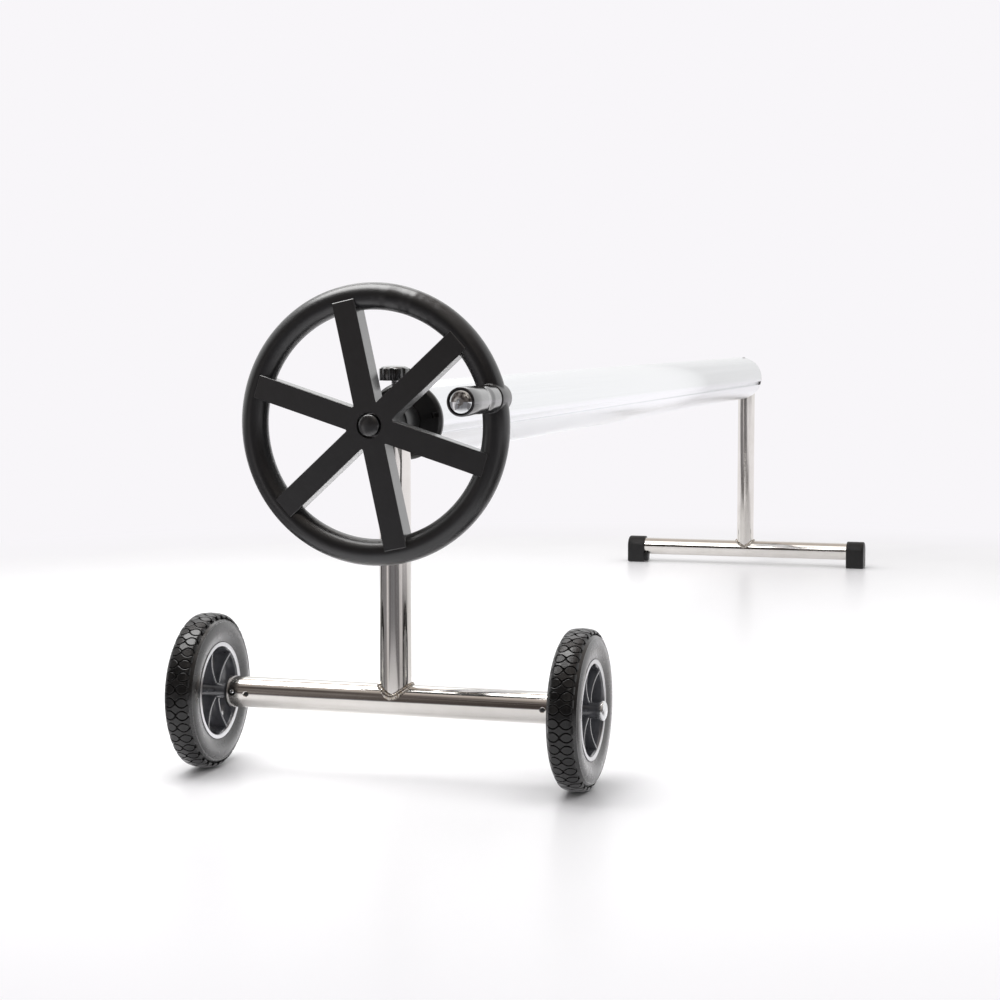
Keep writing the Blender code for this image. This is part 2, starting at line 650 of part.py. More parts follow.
def rib_star_mesh(name):
    """The ribs as one star, each a plate whose edges dip between hub and rim."""
    shape = bmesh.new()
    reach = WHEEL_RIM_DIAMETER / 2 - RIM_FLANGE_HEIGHT - RIM_BARREL_WALL / 2
    start = WHEEL_HUB_DIAMETER / 2 - 0.0015
    middle = start + (reach - start) * 0.45
    low = min(WHEEL_RIB_DEPTH / 2, WHEEL_HUB_LENGTH / 2 - WHEEL_HUB_SHIFT - RUNNING_GAP)
    high = WHEEL_RIM_WIDTH / 2 - RIM_FLANGE_WIDTH * 0.6
    outer = middle + (reach - middle) * 0.6
    edge = [(start, low), (middle, low), (outer, low + (high - low) * 0.4), (reach, high)]
    loop = edge + [(r, -z) for r, z in reversed(edge)]
    half = WHEEL_RIB_THICKNESS / 2
    for rib in range(WHEEL_RIB_COUNT):
        angle = WHEEL_RIB_ANGLE + 2 * math.pi * rib / WHEEL_RIB_COUNT
        along = (math.cos(angle), math.sin(angle))
        across = (-math.sin(angle), math.cos(angle))
        sides = []
        for offset in (-half, half):
            side = []
            for r, z in loop:
                x = along[0] * r + across[0] * offset
                y = along[1] * r + across[1] * offset
                side.append(shape.verts.new((x, y, z)))
            sides.append(side)
        shape.faces.new(sides[0])
        shape.faces.new(reversed(sides[1]))
        for step in range(len(loop)):
            after = (step + 1) % len(loop)
            shape.faces.new((sides[0][step], sides[1][step], sides[1][after], sides[0][after]))
    bmesh.ops.recalc_face_normals(shape, faces=shape.faces)
    return finished_mesh(name, shape)


def wheel_tyre(name, centre, parent):
    outer = WHEEL_DIAMETER / 2
    half = TYRE_WIDTH / 2
    rim_half = WHEEL_RIM_WIDTH / 2
    flange = WHEEL_RIM_DIAMETER / 2
    well = flange - RIM_FLANGE_HEIGHT
    bead = rim_half - RIM_FLANGE_WIDTH - SEAT_GAP
    wall = outer - flange
    shoulder = outer - SHOULDER_DROP
    tread = TREAD_WIDTH / 2
    right = [(bead, well + SEAT_GAP), (bead, flange + SEAT_GAP), (rim_half + SEAT_GAP, flange + SEAT_GAP)]
    right += [(half - 0.0005, flange + wall * 0.28), (half, flange + wall * 0.52)]
    right += [(half - 0.0012, flange + wall * 0.74), (tread, shoulder)]
    right += [(tread * 0.75, outer - TREAD_CROWN)]
    profile = right + [(0, outer)] + [(-z, r) for z, r in reversed(right)]
    place(turned_mesh(name, profile, FINE), centre, "+Y", black_rubber(), parent)


# Reel


def grooved_circle(radius, slot_half, slot_radius):
    """A circle with the two opposite grooves' flat-bottomed slots, as (x, y) points."""
    steps = FINE // 2
    edge = math.asin(slot_half / radius)
    points = []
    for turn in (0, math.pi):
        middle = GROOVE_ANGLE + turn
        for step in range(steps + 1):
            angle = middle + edge + (math.pi - 2 * edge) * step / steps
            points.append((radius * math.cos(angle), radius * math.sin(angle)))
        opposite = middle + math.pi
        for side in (-1, 1):
            along = slot_radius
            points.append(
                (
                    along * math.cos(opposite) - side * slot_half * math.sin(opposite),
                    along * math.sin(opposite) + side * slot_half * math.cos(opposite),
                )
            )
    return points


def reel_frame(points):
    """Turns an end view, seen towards +X with -Y on the right, into local points of an object along +X."""
    return [(-up, -right) for right, up in points]


def reel_tube(parent):
    """An extruded tube with two opposite strap grooves, thickened inside behind each groove."""
    spot = (0, 0, AXIS_HEIGHT)
    outside = reel_frame(grooved_circle(REEL_RADIUS, GROOVE_WIDTH / 2, REEL_RADIUS - GROOVE_DEPTH))
    pad_half = GROOVE_WIDTH / 2 + GROOVE_WALL
    pad_radius = REEL_RADIUS - GROOVE_DEPTH - REEL_WALL
    inside = reel_frame(grooved_circle(REEL_BORE_RADIUS, pad_half, pad_radius))
    solid = extruded_mesh("reel_tube", outside, NEAR_TUBE_END, FAR_TUBE_END)
    tube = place(solid, spot, "+X", satin_aluminium(), parent)
    hollow_start = NEAR_TUBE_END - REEL_RADIUS
    hollow_end = FAR_TUBE_END + REEL_RADIUS
    hollow = place(extruded_mesh("reel_hollow", inside, hollow_start, hollow_end), spot, "+X")
    attach(hollow, parent)
    cut(tube, hollow)
    for x, word in ((NEAR_TUBE_END + TUBE_SCREW_INSET, "near"), (FAR_TUBE_END - TUBE_SCREW_INSET, "far")):
        hole = tube_screw_way(f"tube_holes_{word}", x)
        attach(hole, parent)
        cut(tube, hole)


def tube_screw_way(name, x):
    """A rod across the tube where one pair of opposite tube screws goes."""
    reach = REEL_RADIUS * 1.5
    way = rod(name, (x, 0, AXIS_HEIGHT), "+Z", -reach, reach, TUBE_SCREW[0] / 2 + SEAT_GAP)
    way.rotation_euler = (-GROOVE_ANGLE, 0, 0)
    return way


def tube_screws(word, x, parent):
    for turn, label in ((0, "upper"), (math.pi, "lower")):
        tilt = turn - GROOVE_ANGLE
        reach = REEL_RADIUS + SEAT_GAP
        spot = (x, -reach * math.sin(tilt), AXIS_HEIGHT + reach * math.cos(tilt))
        screw = pan_screw(f"{word}_tube_screw_{label}", TUBE_SCREW, spot, "+Z", zinc_steel(), parent)
        screw.rotation_euler = (tilt, 0, 0)


def reel_plug(word, tube_end, axis, parent):
    """An end plug: a body in the tube, a notched flange over its end and a hub on the shaft.

    Local Z points out of the tube.
    """
    spot = (tube_end, 0, AXIS_HEIGHT)
    clear = SEAT_GAP
    bore = SHAFT_RADIUS + SEAT_GAP
    flange_top = clear + PLUG_FLANGE_THICKNESS
    chamfer = PLUG_FLANGE_CHAMFER
    profile = [(clear, bore), (clear, PLUG_FLANGE_RADIUS), (flange_top - chamfer, PLUG_FLANGE_RADIUS)]
    profile += [(flange_top, PLUG_FLANGE_RADIUS - chamfer), (flange_top, PLUG_HUB_DIAMETER / 2)]
    profile += [(flange_top + PLUG_HUB_LENGTH, PLUG_HUB_DIAMETER / 2), (flange_top + PLUG_HUB_LENGTH, bore)]
    plug = place(turned_mesh(f"{word}_reel_plug", profile, FINE), spot, axis, black_plastic(), parent)

    pad_half = GROOVE_WIDTH / 2 + GROOVE_WALL + SEAT_GAP
    pad_radius = REEL_RADIUS - GROOVE_DEPTH - REEL_WALL - SEAT_GAP
    outline = reel_frame(grooved_circle(REEL_BORE_RADIUS - SEAT_GAP, pad_half, pad_radius))
    inward = 1 if axis == "-X" else -1
    start, end = sorted((-inward * (clear + PLUG_FLANGE_THICKNESS / 2), inward * PLUG_DEPTH))
    body = place(extruded_mesh(f"body_{word}_reel_plug", outline, start, end), spot, "+X")
    attach(body, parent)
    join(plug, body)
    shaft_way = rod(f"shaft_way_{word}", spot, "+X", -2 * PLUG_DEPTH, 2 * PLUG_DEPTH, bore, ROUND)
    attach(shaft_way, parent)
    cut(plug, shaft_way)
    notches = place(notch_mesh(f"notches_{word}"), spot, axis)
    attach(notches, parent)
    cut(plug, notches)
    screws_x = tube_end + inward * TUBE_SCREW_INSET
    way = tube_screw_way(f"plug_holes_{word}", screws_x)
    attach(way, parent)
    cut(plug, way)
    pin_x = tube_end - inward * (flange_top + PLUG_HUB_LENGTH / 2)
    pin_spot = (pin_x, 0, AXIS_HEIGHT)
    pin_radius = PIN_DIAMETER / 2 + SEAT_GAP
    pin_way = rod(f"pin_way_{word}", pin_spot, "+Z", -PLUG_HUB_DIAMETER, PLUG_HUB_DIAMETER, pin_radius)
    attach(pin_way, parent)
    cut(plug, pin_way)
    cross_pin(f"{word}_plug_pin", pin_x, PLUG_HUB_DIAMETER, PIN_DIAMETER, parent)
    tube_screws(word, screws_x, parent)
    return pin_way


def notch_mesh(name):
    """Blocks that cut the flange's notches, in the plug's own frame, in one mesh."""
    shape = bmesh.new()
    top = SEAT_GAP + PLUG_FLANGE_THICKNESS
    outer = PLUG_FLANGE_RADIUS - PLUG_FLANGE_CHAMFER * 0.75
    for notch in range(PLUG_NOTCHES):
        angle = PLUG_NOTCH_ANGLE + 2 * math.pi * notch / PLUG_NOTCHES
        along = (math.cos(angle), math.sin(angle))
        across = (-math.sin(angle), math.cos(angle))
        corners = []
        for height in (top - PLUG_NOTCH_DEPTH, top + PLUG_NOTCH_DEPTH):
            for reach, offset in (
                (outer - PLUG_NOTCH_LENGTH, -PLUG_NOTCH_WIDTH / 2),
                (outer, -PLUG_NOTCH_WIDTH / 2),
                (outer, PLUG_NOTCH_WIDTH / 2),
                (outer - PLUG_NOTCH_LENGTH, PLUG_NOTCH_WIDTH / 2),
            ):
                x = along[0] * reach + across[0] * offset
                y = along[1] * reach + across[1] * offset
                corners.append(shape.verts.new((x, y, height)))
        for side in range(4):
            after = (side + 1) % 4
            shape.faces.new((corners[side], corners[after], corners[after + 4], corners[side + 4]))
        shape.faces.new(corners[3::-1])
        shape.faces.new(corners[4:])
    bmesh.ops.recalc_face_normals(shape, faces=shape.faces)
    return finished_mesh(name, shape)


def cross_pin(name, x, across, diameter, parent):
    half = across / 2 - PIN_INSET
    tip = diameter * 0.1
    radius = diameter / 2
    profile = [(-half, 0), (-half, radius - tip), (tip - half, radius), (half - tip, radius)]
    profile += [(half, radius - tip), (half, 0)]
    return place(turned_mesh(name, profile, SMALL), (x, 0, AXIS_HEIGHT), "+Z", zinc_steel(), parent)


def reel(parent):
    reel_tube(parent)
    near_pin_way = reel_plug("near", NEAR_TUBE_END, "-X", parent)
    far_pin_way = reel_plug("far", FAR_TUBE_END, "+X", parent)
    axis_point = (0, 0, AXIS_HEIGHT)

    wheel_end = HUB_FLOOR + HUB_WEB + SEAT_GAP
    tapped_end = HUB_FLOOR - 2 * SEAT_GAP - HUB_WASHER_THICKNESS + HUB_BOLT_LENGTH + 0.003
    inner_end = NEAR_TUBE_END + PLUG_DEPTH
    tapped = HUB_BOLT_DIAMETER / 2 + SEAT_GAP
    profile = [(tapped_end, 0), (tapped_end, tapped), (wheel_end, tapped), (wheel_end, SHAFT_RADIUS)]
    profile += [(inner_end, SHAFT_RADIUS), (inner_end, 0)]
    mesh = turned_mesh("near_shaft", profile, ROUND)
    near_shaft = place(mesh, axis_point, "+X", polished_steel(), parent)
    cut(near_shaft, near_pin_way)

    collar_start = FAR_X + BARREL_LENGTH / 2 + RUNNING_GAP
    outer_end = collar_start + COLLAR_LENGTH + SHAFT_STICK_OUT
    inner_end = FAR_TUBE_END - PLUG_DEPTH
    tip = SHAFT_RADIUS * 0.08
    profile = [(inner_end, 0), (inner_end, SHAFT_RADIUS), (outer_end - tip, SHAFT_RADIUS)]
    profile += [(outer_end, SHAFT_RADIUS - tip), (outer_end, 0)]
    far_shaft = place(turned_mesh("far_shaft", profile, ROUND), axis_point, "+X", polished_steel(), parent)
    cut(far_shaft, far_pin_way)
    far_collar(collar_start, parent)
    return near_shaft


def far_collar(start, parent):
    """A collar that keeps the far stand on its shaft, and its grub screw."""
    bore = SHAFT_RADIUS + SEAT_GAP
    spot = (0, 0, AXIS_HEIGHT)
    profile = tube_profile(start, start + COLLAR_LENGTH, COLLAR_DIAMETER / 2, bore)
    collar = place(turned_mesh("far_collar", profile, ROUND), spot, "+X", zinc_steel(), parent)
    screw_spot = (start + COLLAR_LENGTH / 2, 0, AXIS_HEIGHT)
    radius = COLLAR_SCREW_DIAMETER / 2
    hole = rod("grub_hole", screw_spot, "+Z", 0, COLLAR_DIAMETER, radius + SEAT_GAP)
    attach(hole, parent)
    cut(collar, hole)
    low = SHAFT_RADIUS + SEAT_GAP
    high = low + COLLAR_SCREW_LENGTH
    socket = radius * 0.5
    profile = [(low, 0), (low, radius * 0.7), (low + radius * 0.3, radius), (high, radius)]
    profile += [(high, socket, hex_outline), (high - radius, socket, hex_outline), (high - radius, 0)]
    place(turned_mesh("far_collar_screw", profile, HEXED), screw_spot, "+Z", zinc_steel(), parent)


# Hand wheel


def spoke_star():
    """The spokes' shared outline, as (right, up) points seen from the front."""
    points = []
    pitch = 2 * math.pi / SPOKE_COUNT
    half = SPOKE_WIDTH / 2
    crotch = half / math.sin(pitch / 2)
    for spoke in range(SPOKE_COUNT):
        angle = HANDLE_ANGLE + pitch * (spoke + 0.5)
        for side in (-1, 1):
            right = SPOKE_REACH * math.cos(angle) - side * half * math.sin(angle)
            up = SPOKE_REACH * math.sin(angle) + side * half * math.cos(angle)
            points.append((right, up))
        between = angle + pitch / 2
        points.append((crotch * math.cos(between), crotch * math.sin(between)))
    return points


def hand_wheel(near_shaft, parent):
    spot = (0, 0, AXIS_HEIGHT)
    ring = []
    for step in range(RIM_SECTION):
        angle = 2 * math.pi * step / RIM_SECTION
        ring.append((RIM_RADIUS * math.cos(angle), RIM_CENTRE_RADIUS + RIM_RADIUS * math.sin(angle)))
    rim = turned_mesh("hand_wheel", ring, FINE)
    wheel = place(rim, (WHEEL_PLANE, 0, AXIS_HEIGHT), "+X", black_plastic(), parent)

    def helper(mesh, location, axis, change):
        made = place(mesh, location, axis)
        attach(made, parent)
        change(wheel, made)

    star = extruded_mesh("spoke_star", reel_frame(spoke_star()), SPOKE_FRONT, SPOKE_BACK)
    helper(star, spot, "+X", join)
    boss_end = NEAR_X - BUSH_END - RUNNING_GAP
    boss_start = SPOKE_BACK - HUB_WEB
    boss_radius = HUB_BOSS_DIAMETER / 2
    boss = [(boss_start, 0), (boss_start, boss_radius), (boss_end, boss_radius), (boss_end, 0)]
    helper(turned_mesh("hub_boss", boss, ROUND, OFF_AXIS_TURN), spot, "+X", join)
    handle_y = -RIM_CENTRE_RADIUS * math.cos(HANDLE_ANGLE)
    handle_z = AXIS_HEIGHT + RIM_CENTRE_RADIUS * math.sin(HANDLE_ANGLE)
    handle = (0, handle_y, handle_z)
    boss_front = NEAR_X - BOSS_FRONT_REACH
    boss_rear = WHEEL_PLANE + RIM_RADIUS + HANDLE_BOSS_REAR
    edge = 0.0015
    boss_radius = HANDLE_BOSS_DIAMETER / 2
    boss = [(boss_front, 0), (boss_front, boss_radius - edge), (boss_front + edge, boss_radius)]
    boss += [(boss_rear - edge, boss_radius), (boss_rear, boss_radius - edge), (boss_rear, 0)]
    helper(turned_mesh("handle_boss", boss, ROUND, OFF_AXIS_TURN), handle, "+X", join)

    bolt_way = HUB_BOLT_DIAMETER / 2 + SEAT_GAP
    shaft_way = SHAFT_RADIUS + SEAT_GAP
    floor = HUB_FLOOR
    way = [(SPOKE_FRONT - HUB_WEB, 0), (SPOKE_FRONT - HUB_WEB, HUB_RECESS_DIAMETER / 2)]
    way += [(floor, HUB_RECESS_DIAMETER / 2), (floor, bolt_way), (floor + HUB_WEB, bolt_way)]
    way += [(floor + HUB_WEB, shaft_way), (boss_end + HUB_WEB, shaft_way), (boss_end + HUB_WEB, 0)]
    helper(turned_mesh("hub_way", way, ROUND), spot, "+X", cut)
    grip_way = GRIP_BOLT_DIAMETER / 2 + SEAT_GAP
    pocket = HEX_WIDTH / 2 + SEAT_GAP
    pocket_floor = boss_rear - NUT_HEIGHT - 2 * SEAT_GAP
    way = [(boss_front - HUB_WEB, 0), (boss_front - HUB_WEB, grip_way), (pocket_floor, grip_way)]
    pocket_end = boss_rear + HUB_WEB
    way += [(pocket_floor, pocket, hex_outline), (pocket_end, pocket, hex_outline), (pocket_end, 0)]
    helper(turned_mesh("grip_way", way, HEXED), handle, "+X", cut)

    pin_x = (SPOKE_BACK + boss_end) / 2 + WHEEL_PIN_DIAMETER
    pin_spot = (pin_x, 0, AXIS_HEIGHT)
    pin_radius = WHEEL_PIN_DIAMETER / 2 + SEAT_GAP
    pin_way = rod("wheel_pin_way", pin_spot, "+Z", -HUB_BOSS_DIAMETER, HUB_BOSS_DIAMETER, pin_radius)
    attach(pin_way, parent)
    cut(wheel, pin_way)
    cut(near_shaft, pin_way)
    cross_pin("hand_wheel_pin", pin_x, HUB_BOSS_DIAMETER, WHEEL_PIN_DIAMETER, parent)
    hub_fasteners(parent)
    crank_handle(handle, boss_front, boss_rear, parent)


def hub_fasteners(parent):
    """The washer, bolt and domed cap in the hand wheel's recess. Local Z points forwards, along -X."""
    spot = (HUB_FLOOR, 0, AXIS_HEIGHT)
    washer_start = SEAT_GAP
    washer_end = washer_start + HUB_WASHER_THICKNESS
    bolt_radius = HUB_BOLT_DIAMETER / 2
    washer = tube_profile(washer_start, washer_end, HUB_WASHER_DIAMETER / 2, bolt_radius + SEAT_GAP)
    place(turned_mesh("hub_washer", washer, ROUND), spot, "-X", zinc_steel(), parent)
    seat = washer_end + SEAT_GAP
    flat = HEX_WIDTH / 2
    bolt = [(seat - HUB_BOLT_LENGTH, 0), (seat - HUB_BOLT_LENGTH, bolt_radius), (seat, bolt_radius)]
    bolt += [(seat, flat, hex_outline), (seat + HEX_HEIGHT, flat, hex_outline), (seat + HEX_HEIGHT, 0)]
    place(turned_mesh("hub_bolt", bolt, HEXED), spot, "-X", zinc_steel(), parent)
    outer = HUB_CAP_DIAMETER / 2
    inner = outer - HUB_CAP_WALL
    top = seat + HUB_CAP_HEIGHT
    brim = top - HUB_CAP_DOME
    ceiling = top - HUB_CAP_WALL
    cap = [(seat, inner), (seat, outer), (brim, outer), (brim + HUB_CAP_DOME * 0.62, outer * 0.8)]
    cap += [(brim + HUB_CAP_DOME * 0.9, outer * 0.45), (top, 0), (ceiling, 0)]
    cap += [(brim + HUB_CAP_DOME * 0.9 - HUB_CAP_WALL, outer * 0.4), (brim - HUB_CAP_WALL * 0.4, inner)]
    place(turned_mesh("hub_cap", cap, ROUND), spot, "-X", black_plastic(), parent)


def grip_profile(start, end, bore, recess):
    """The grip's section, from its base at start to its open front at end, with a waist near the base."""
    full = GRIP_DIAMETER / 2
    waist = GRIP_WAIST_DIAMETER / 2
    middle = start + GRIP_WAIST_OFFSET
    half = GRIP_WAIST_WIDTH
    profile = [(start, bore), (start, full - GRIP_LIP), (start + GRIP_LIP, full)]
    for part in (-1.0, -0.5, 0.0, 0.5, 1.0):
        depth = (full - waist) * math.cos(part * math.pi / 2) ** 2
        profile.append((middle + part * half, full - depth))
    profile += [(end - 2 * GRIP_LIP, full), (end, full - GRIP_LIP), (end, recess)]
    profile += [(end - GRIP_RECESS_DEPTH, recess), (end - GRIP_RECESS_DEPTH, bore)]
    return profile


def crank_handle(handle, boss_front, boss_rear, parent):
    """The turning grip, its washer, bolt and nut. Local Z points forwards, along -X."""
    spot = (boss_front, handle[1], handle[2])
    bolt_radius = GRIP_BOLT_DIAMETER / 2
    washer_end = GRIP_START - RUNNING_GAP
    washer = tube_profile(SEAT_GAP, washer_end, HANDLE_WASHER_DIAMETER / 2, bolt_radius + SEAT_GAP)
    place(turned_mesh("grip_washer", washer, ROUND), spot, "-X", black_rubber(), parent)
    turning = joint_empty("grip_axis", spot)
    attach(turning, parent)
    end = GRIP_START + GRIP_LENGTH
    head_radius = GRIP_HEAD_DIAMETER / 2
    profile = grip_profile(GRIP_START, end, bolt_radius + BORE_GAP, head_radius + RUNNING_GAP)
    grip = place(turned_mesh("grip", profile, ROUND), spot, "-X", black_plastic())
    grip.parent = turning
    grip.location = (0, 0, 0)
    seat = end - GRIP_RECESS_DEPTH + RUNNING_GAP
    head = seat + GRIP_HEAD_HEIGHT
    tail = boss_front - boss_rear + NUT_HEIGHT * 0.15
    socket = SOCKET_WIDTH / 2
    dome = GRIP_HEAD_DOME
    bolt = [(tail, 0), (tail, bolt_radius), (seat, bolt_radius), (seat, head_radius)]
    bolt += [(head - dome, head_radius), (head - dome * 0.4, head_radius * 0.86), (head, socket * 1.3)]
    bolt += [(head, socket, hex_outline), (head - SOCKET_DEPTH, socket, hex_outline)]
    bolt += [(head - SOCKET_DEPTH, 0)]
    place(turned_mesh("grip_bolt", bolt, HEXED), spot, "-X", zinc_steel(), parent)
    nut_start = boss_front - boss_rear + SEAT_GAP
    flat = HEX_WIDTH / 2
    hole = bolt_radius + SEAT_GAP
    nut_end = nut_start + NUT_HEIGHT
    nut = [(nut_start, hole), (nut_start, flat, hex_outline), (nut_end, flat, hex_outline), (nut_end, hole)]
    place(turned_mesh("grip_nut", nut, HEXED), spot, "-X", zinc_steel(), parent)


def main():
    for item in list(bpy.data.objects):
        bpy.data.objects.remove(item)
    near_stand()
    far_stand()
    wheel_set(1, "left")
    wheel_set(-1, "right")
    reel_axis = joint_empty("reel_axis", (0, 0, AXIS_HEIGHT))
    near_shaft = reel(reel_axis)
    hand_wheel(near_shaft, reel_axis)


main()
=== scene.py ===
"""Pool cover reel: the looks of every piece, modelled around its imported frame, in a white studio.

Metres, +Z up, the reel axis along X with the hand wheel at the -X end.
"""

import logging
import math
from collections.abc import Callable, Sequence
from dataclasses import dataclass, field
from enum import Enum

import bpy
from mathutils import Matrix, Vector


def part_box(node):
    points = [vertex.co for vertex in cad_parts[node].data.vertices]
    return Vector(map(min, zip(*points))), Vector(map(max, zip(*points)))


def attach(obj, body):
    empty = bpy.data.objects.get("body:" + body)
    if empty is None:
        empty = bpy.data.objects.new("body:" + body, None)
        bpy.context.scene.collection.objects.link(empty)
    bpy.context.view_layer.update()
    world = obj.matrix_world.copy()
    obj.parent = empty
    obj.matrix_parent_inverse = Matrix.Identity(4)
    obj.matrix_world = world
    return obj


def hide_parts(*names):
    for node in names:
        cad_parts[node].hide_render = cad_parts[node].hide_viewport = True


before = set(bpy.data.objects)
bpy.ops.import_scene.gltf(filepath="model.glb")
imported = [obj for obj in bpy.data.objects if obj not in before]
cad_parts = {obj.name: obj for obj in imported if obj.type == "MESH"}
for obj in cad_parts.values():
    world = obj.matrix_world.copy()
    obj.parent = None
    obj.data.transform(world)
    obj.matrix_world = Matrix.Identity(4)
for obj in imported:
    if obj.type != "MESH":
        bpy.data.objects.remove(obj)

LOG = logging.getLogger("cover_reel")
MM = 0.001
PLAY = 0.0003  # between pieces that sit together, so that their faces don't coincide

Test = Callable[[Vector, Vector], bool]
Points = Sequence[tuple[float, float]]
Tree = bpy.types.NodeTree
Source = bpy.types.Node | bpy.types.NodeSocket


# Places


@dataclass(frozen=True)
class Axis:
    """A line that pieces are turned, bored or repeated round."""

    origin: Vector
    ahead: Vector
    side: Vector

    @property
    def across(self) -> Vector:
        """The direction a quarter turn on from side, seen with ahead pointing at the viewer."""
        return self.ahead.cross(self.side)

    def at(self, along: float, out: float = 0.0, degrees: float = 0.0) -> Vector:
        """Gives a point in the frame.

        Args:
            along: Distance from the origin along the axis.
            out: Distance from the axis.
            degrees: Angle from side towards across.

        Returns:
            The point.
        """
        angle = math.radians(degrees)
        spoke = math.cos(angle) * self.side + math.sin(angle) * self.across
        return self.origin + self.ahead * along + out * spoke

    def moved(self, along: float, out: float = 0.0, degrees: float = 0.0) -> "Axis":
        """A parallel axis through another of this one's points."""
        return Axis(self.at(along, out, degrees), self.ahead, self.side)

    def outwards(self, along: float, degrees: float = 0.0) -> "Axis":
        """The axis that leaves this one at a right angle, at that place and angle."""
        start = self.at(along)
        return Axis(start, (self.at(along, 1.0, degrees) - start).normalized(), self.ahead)

    def measure(self, point: Vector) -> tuple[float, float]:
        """How far a point is along the axis and out from it."""
        away = point - self.origin
        along = away.dot(self.ahead)
        return along, (away - self.ahead * along).length

    def turned(self, degrees: float) -> Matrix:
        """The matrix that turns a mesh round this axis."""
        there = Matrix.Translation(self.origin)
        return there @ Matrix.Rotation(math.radians(degrees), 4, self.ahead) @ there.inverted()

    def matrix(self) -> Matrix:
        """Local Z along the axis, local X to the side, for placing a primitive."""
        turn = Matrix((self.side, self.across, self.ahead)).transposed().to_4x4()
        return Matrix.Translation(self.origin) @ turn


FORWARD = Vector((1, 0, 0))
LEFT = Vector((0, 1, 0))
UP = Vector((0, 0, 1))

NEAR_X = -1.16935
FAR_X = 1.33065
AXIS_HEIGHT = 0.450
TUBE_RADIUS = 0.020
TUBE_BORE = TUBE_RADIUS - 0.0015
REEL_AXIS = Axis(Vector((0, 0, AXIS_HEIGHT)), -FORWARD, -LEFT)


class Body(Enum):
    """The bodies that pieces ride on."""

    NEAR_STAND = "near_stand"
    FAR_STAND = "far_stand"
    REEL = "reel"
    GRIP = "grip"
    WHEEL_LEFT = "wheel_left"
    WHEEL_RIGHT = "wheel_right"
    BRAKE_SCREW = "brake_screw"


# Finishes

NOISE_LOW = 0.3  # a noise stays mostly between these two
NOISE_HIGH = 0.7


def linear(code: str) -> tuple[float, float, float, float]:
    """Turns an sRGB hex colour into linear values."""
    parts = [int(code[place : place + 2], 16) / 255 for place in (1, 3, 5)]
    red, green, blue = (p / 12.92 if p <= 0.04045 else ((p + 0.055) / 1.055) ** 2.4 for p in parts)
    return (red, green, blue, 1.0)


def clear_tree(owner: bpy.types.Material | bpy.types.World) -> Tree:
    """The owner's node tree, turned on and emptied."""
    owner.use_nodes = True
    owner.node_tree.nodes.clear()
    return owner.node_tree


def add_node(
    tree: Tree, kind: str, inputs: dict | None = None, stops: Sequence = (), **settings
) -> bpy.types.Node:
    """Adds one node with its settings and links.

    Args:
        tree: The node tree.
        kind: The node's type, without ShaderNode in front.
        inputs: By name or number: a value, a hex colour, a socket, or a node whose first output in
            use is meant.
        stops: A colour ramp's stops, as places and hex colours.
        settings: The node's own properties.

    Returns:
        The node.
    """
    node = tree.nodes.new(f"ShaderNode{kind}")
    for name, value in settings.items():
        setattr(node, name, value)
    for name, value in (inputs or {}).items():
        if isinstance(value, bpy.types.Node):
            value = next(output for output in value.outputs if output.enabled)
        if isinstance(value, bpy.types.NodeSocket):
            tree.links.new(value, node.inputs[name])
        else:
            node.inputs[name].default_value = linear(value) if isinstance(value, str) else value
    elements = node.color_ramp.elements if stops else ()
    while len(elements) < len(stops):
        elements.new(0.5)
    for element, (place, code) in zip(elements, stops):
        element.position = place
        element.color = linear(code)
    return node


@dataclass(frozen=True)
class Pattern:
    """A noise over a surface. Its blobs have a real size in millimetres, drawn out by stretch."""

    size: float
    detail: float = 3.0
    stretch: tuple[float, float, float] = (1, 1, 1)

    def draw(self, tree: Tree) -> bpy.types.Node:
        """Lays the noise on the object's own coordinates.

        Args:
            tree: The material's node tree.

        Returns:
            The noise node.
        """
        spot = add_node(tree, "TexCoord").outputs["Object"]
        place = add_node(tree, "Mapping", {"Vector": spot, "Scale": self.stretch})
        scale = 1 / (self.size * MM)
        noise = {"Vector": place, "Scale": scale, "Detail": self.detail, "Roughness": 0.55}
        return add_node(tree, "TexNoise", noise)


@dataclass(frozen=True)
class Finish:
    """A real material and how its surface was made.

    Its tones, its gloss (a range of roughness) and its relief each follow a pattern. The relief's
    depth is in millimetres.
    """

    name: str
    tones: tuple[str, ...]
    gloss: tuple[float, float]
    tone_by: Pattern
    gloss_by: Pattern
    relief_by: Pattern | None = None
    depth: float = 0.0
    strength: float = 0.5

    def material(self) -> bpy.types.Material:
        """The Blender material, made the first time it is asked for."""
        known = bpy.data.materials.get(self.name)
        if known:
            return known
        made = bpy.data.materials.new(self.name)
        tree = clear_tree(made)
        shader = add_node(tree, "BsdfPrincipled", self.inputs(tree))
        add_node(tree, "OutputMaterial", {"Surface": shader})
        return made

    def inputs(self, tree: Tree) -> dict:
        """Gives the shader its inputs.

        Args:
            tree: The material's node tree.

        Returns:
            Values and nodes by the name of the shader's input.
        """
        step = (NOISE_HIGH - NOISE_LOW) / (len(self.tones) - 1)
        stops = [(NOISE_LOW + step * number, code) for number, code in enumerate(self.tones)]
        tone = add_node(tree, "ValToRGB", {"Fac": self.tone_by.draw(tree)}, stops)
        made = {"Base Color": tone, "Roughness": self.spread(tree, *self.gloss)}
        if self.relief_by:
            relief = {"Height": self.relief_by.draw(tree), "Distance": self.depth * MM}
            made["Normal"] = add_node(tree, "Bump", {**relief, "Strength": self.strength})
        return made

    def spread(self, tree: Tree, low: float, high: float) -> bpy.types.Node:
        """The gloss pattern, mapped onto low to high."""
        span = {"From Min": NOISE_LOW, "From Max": NOISE_HIGH, "To Min": low, "To Max": high}
        return add_node(tree, "MapRange", {"Value": self.gloss_by.draw(tree), **span})


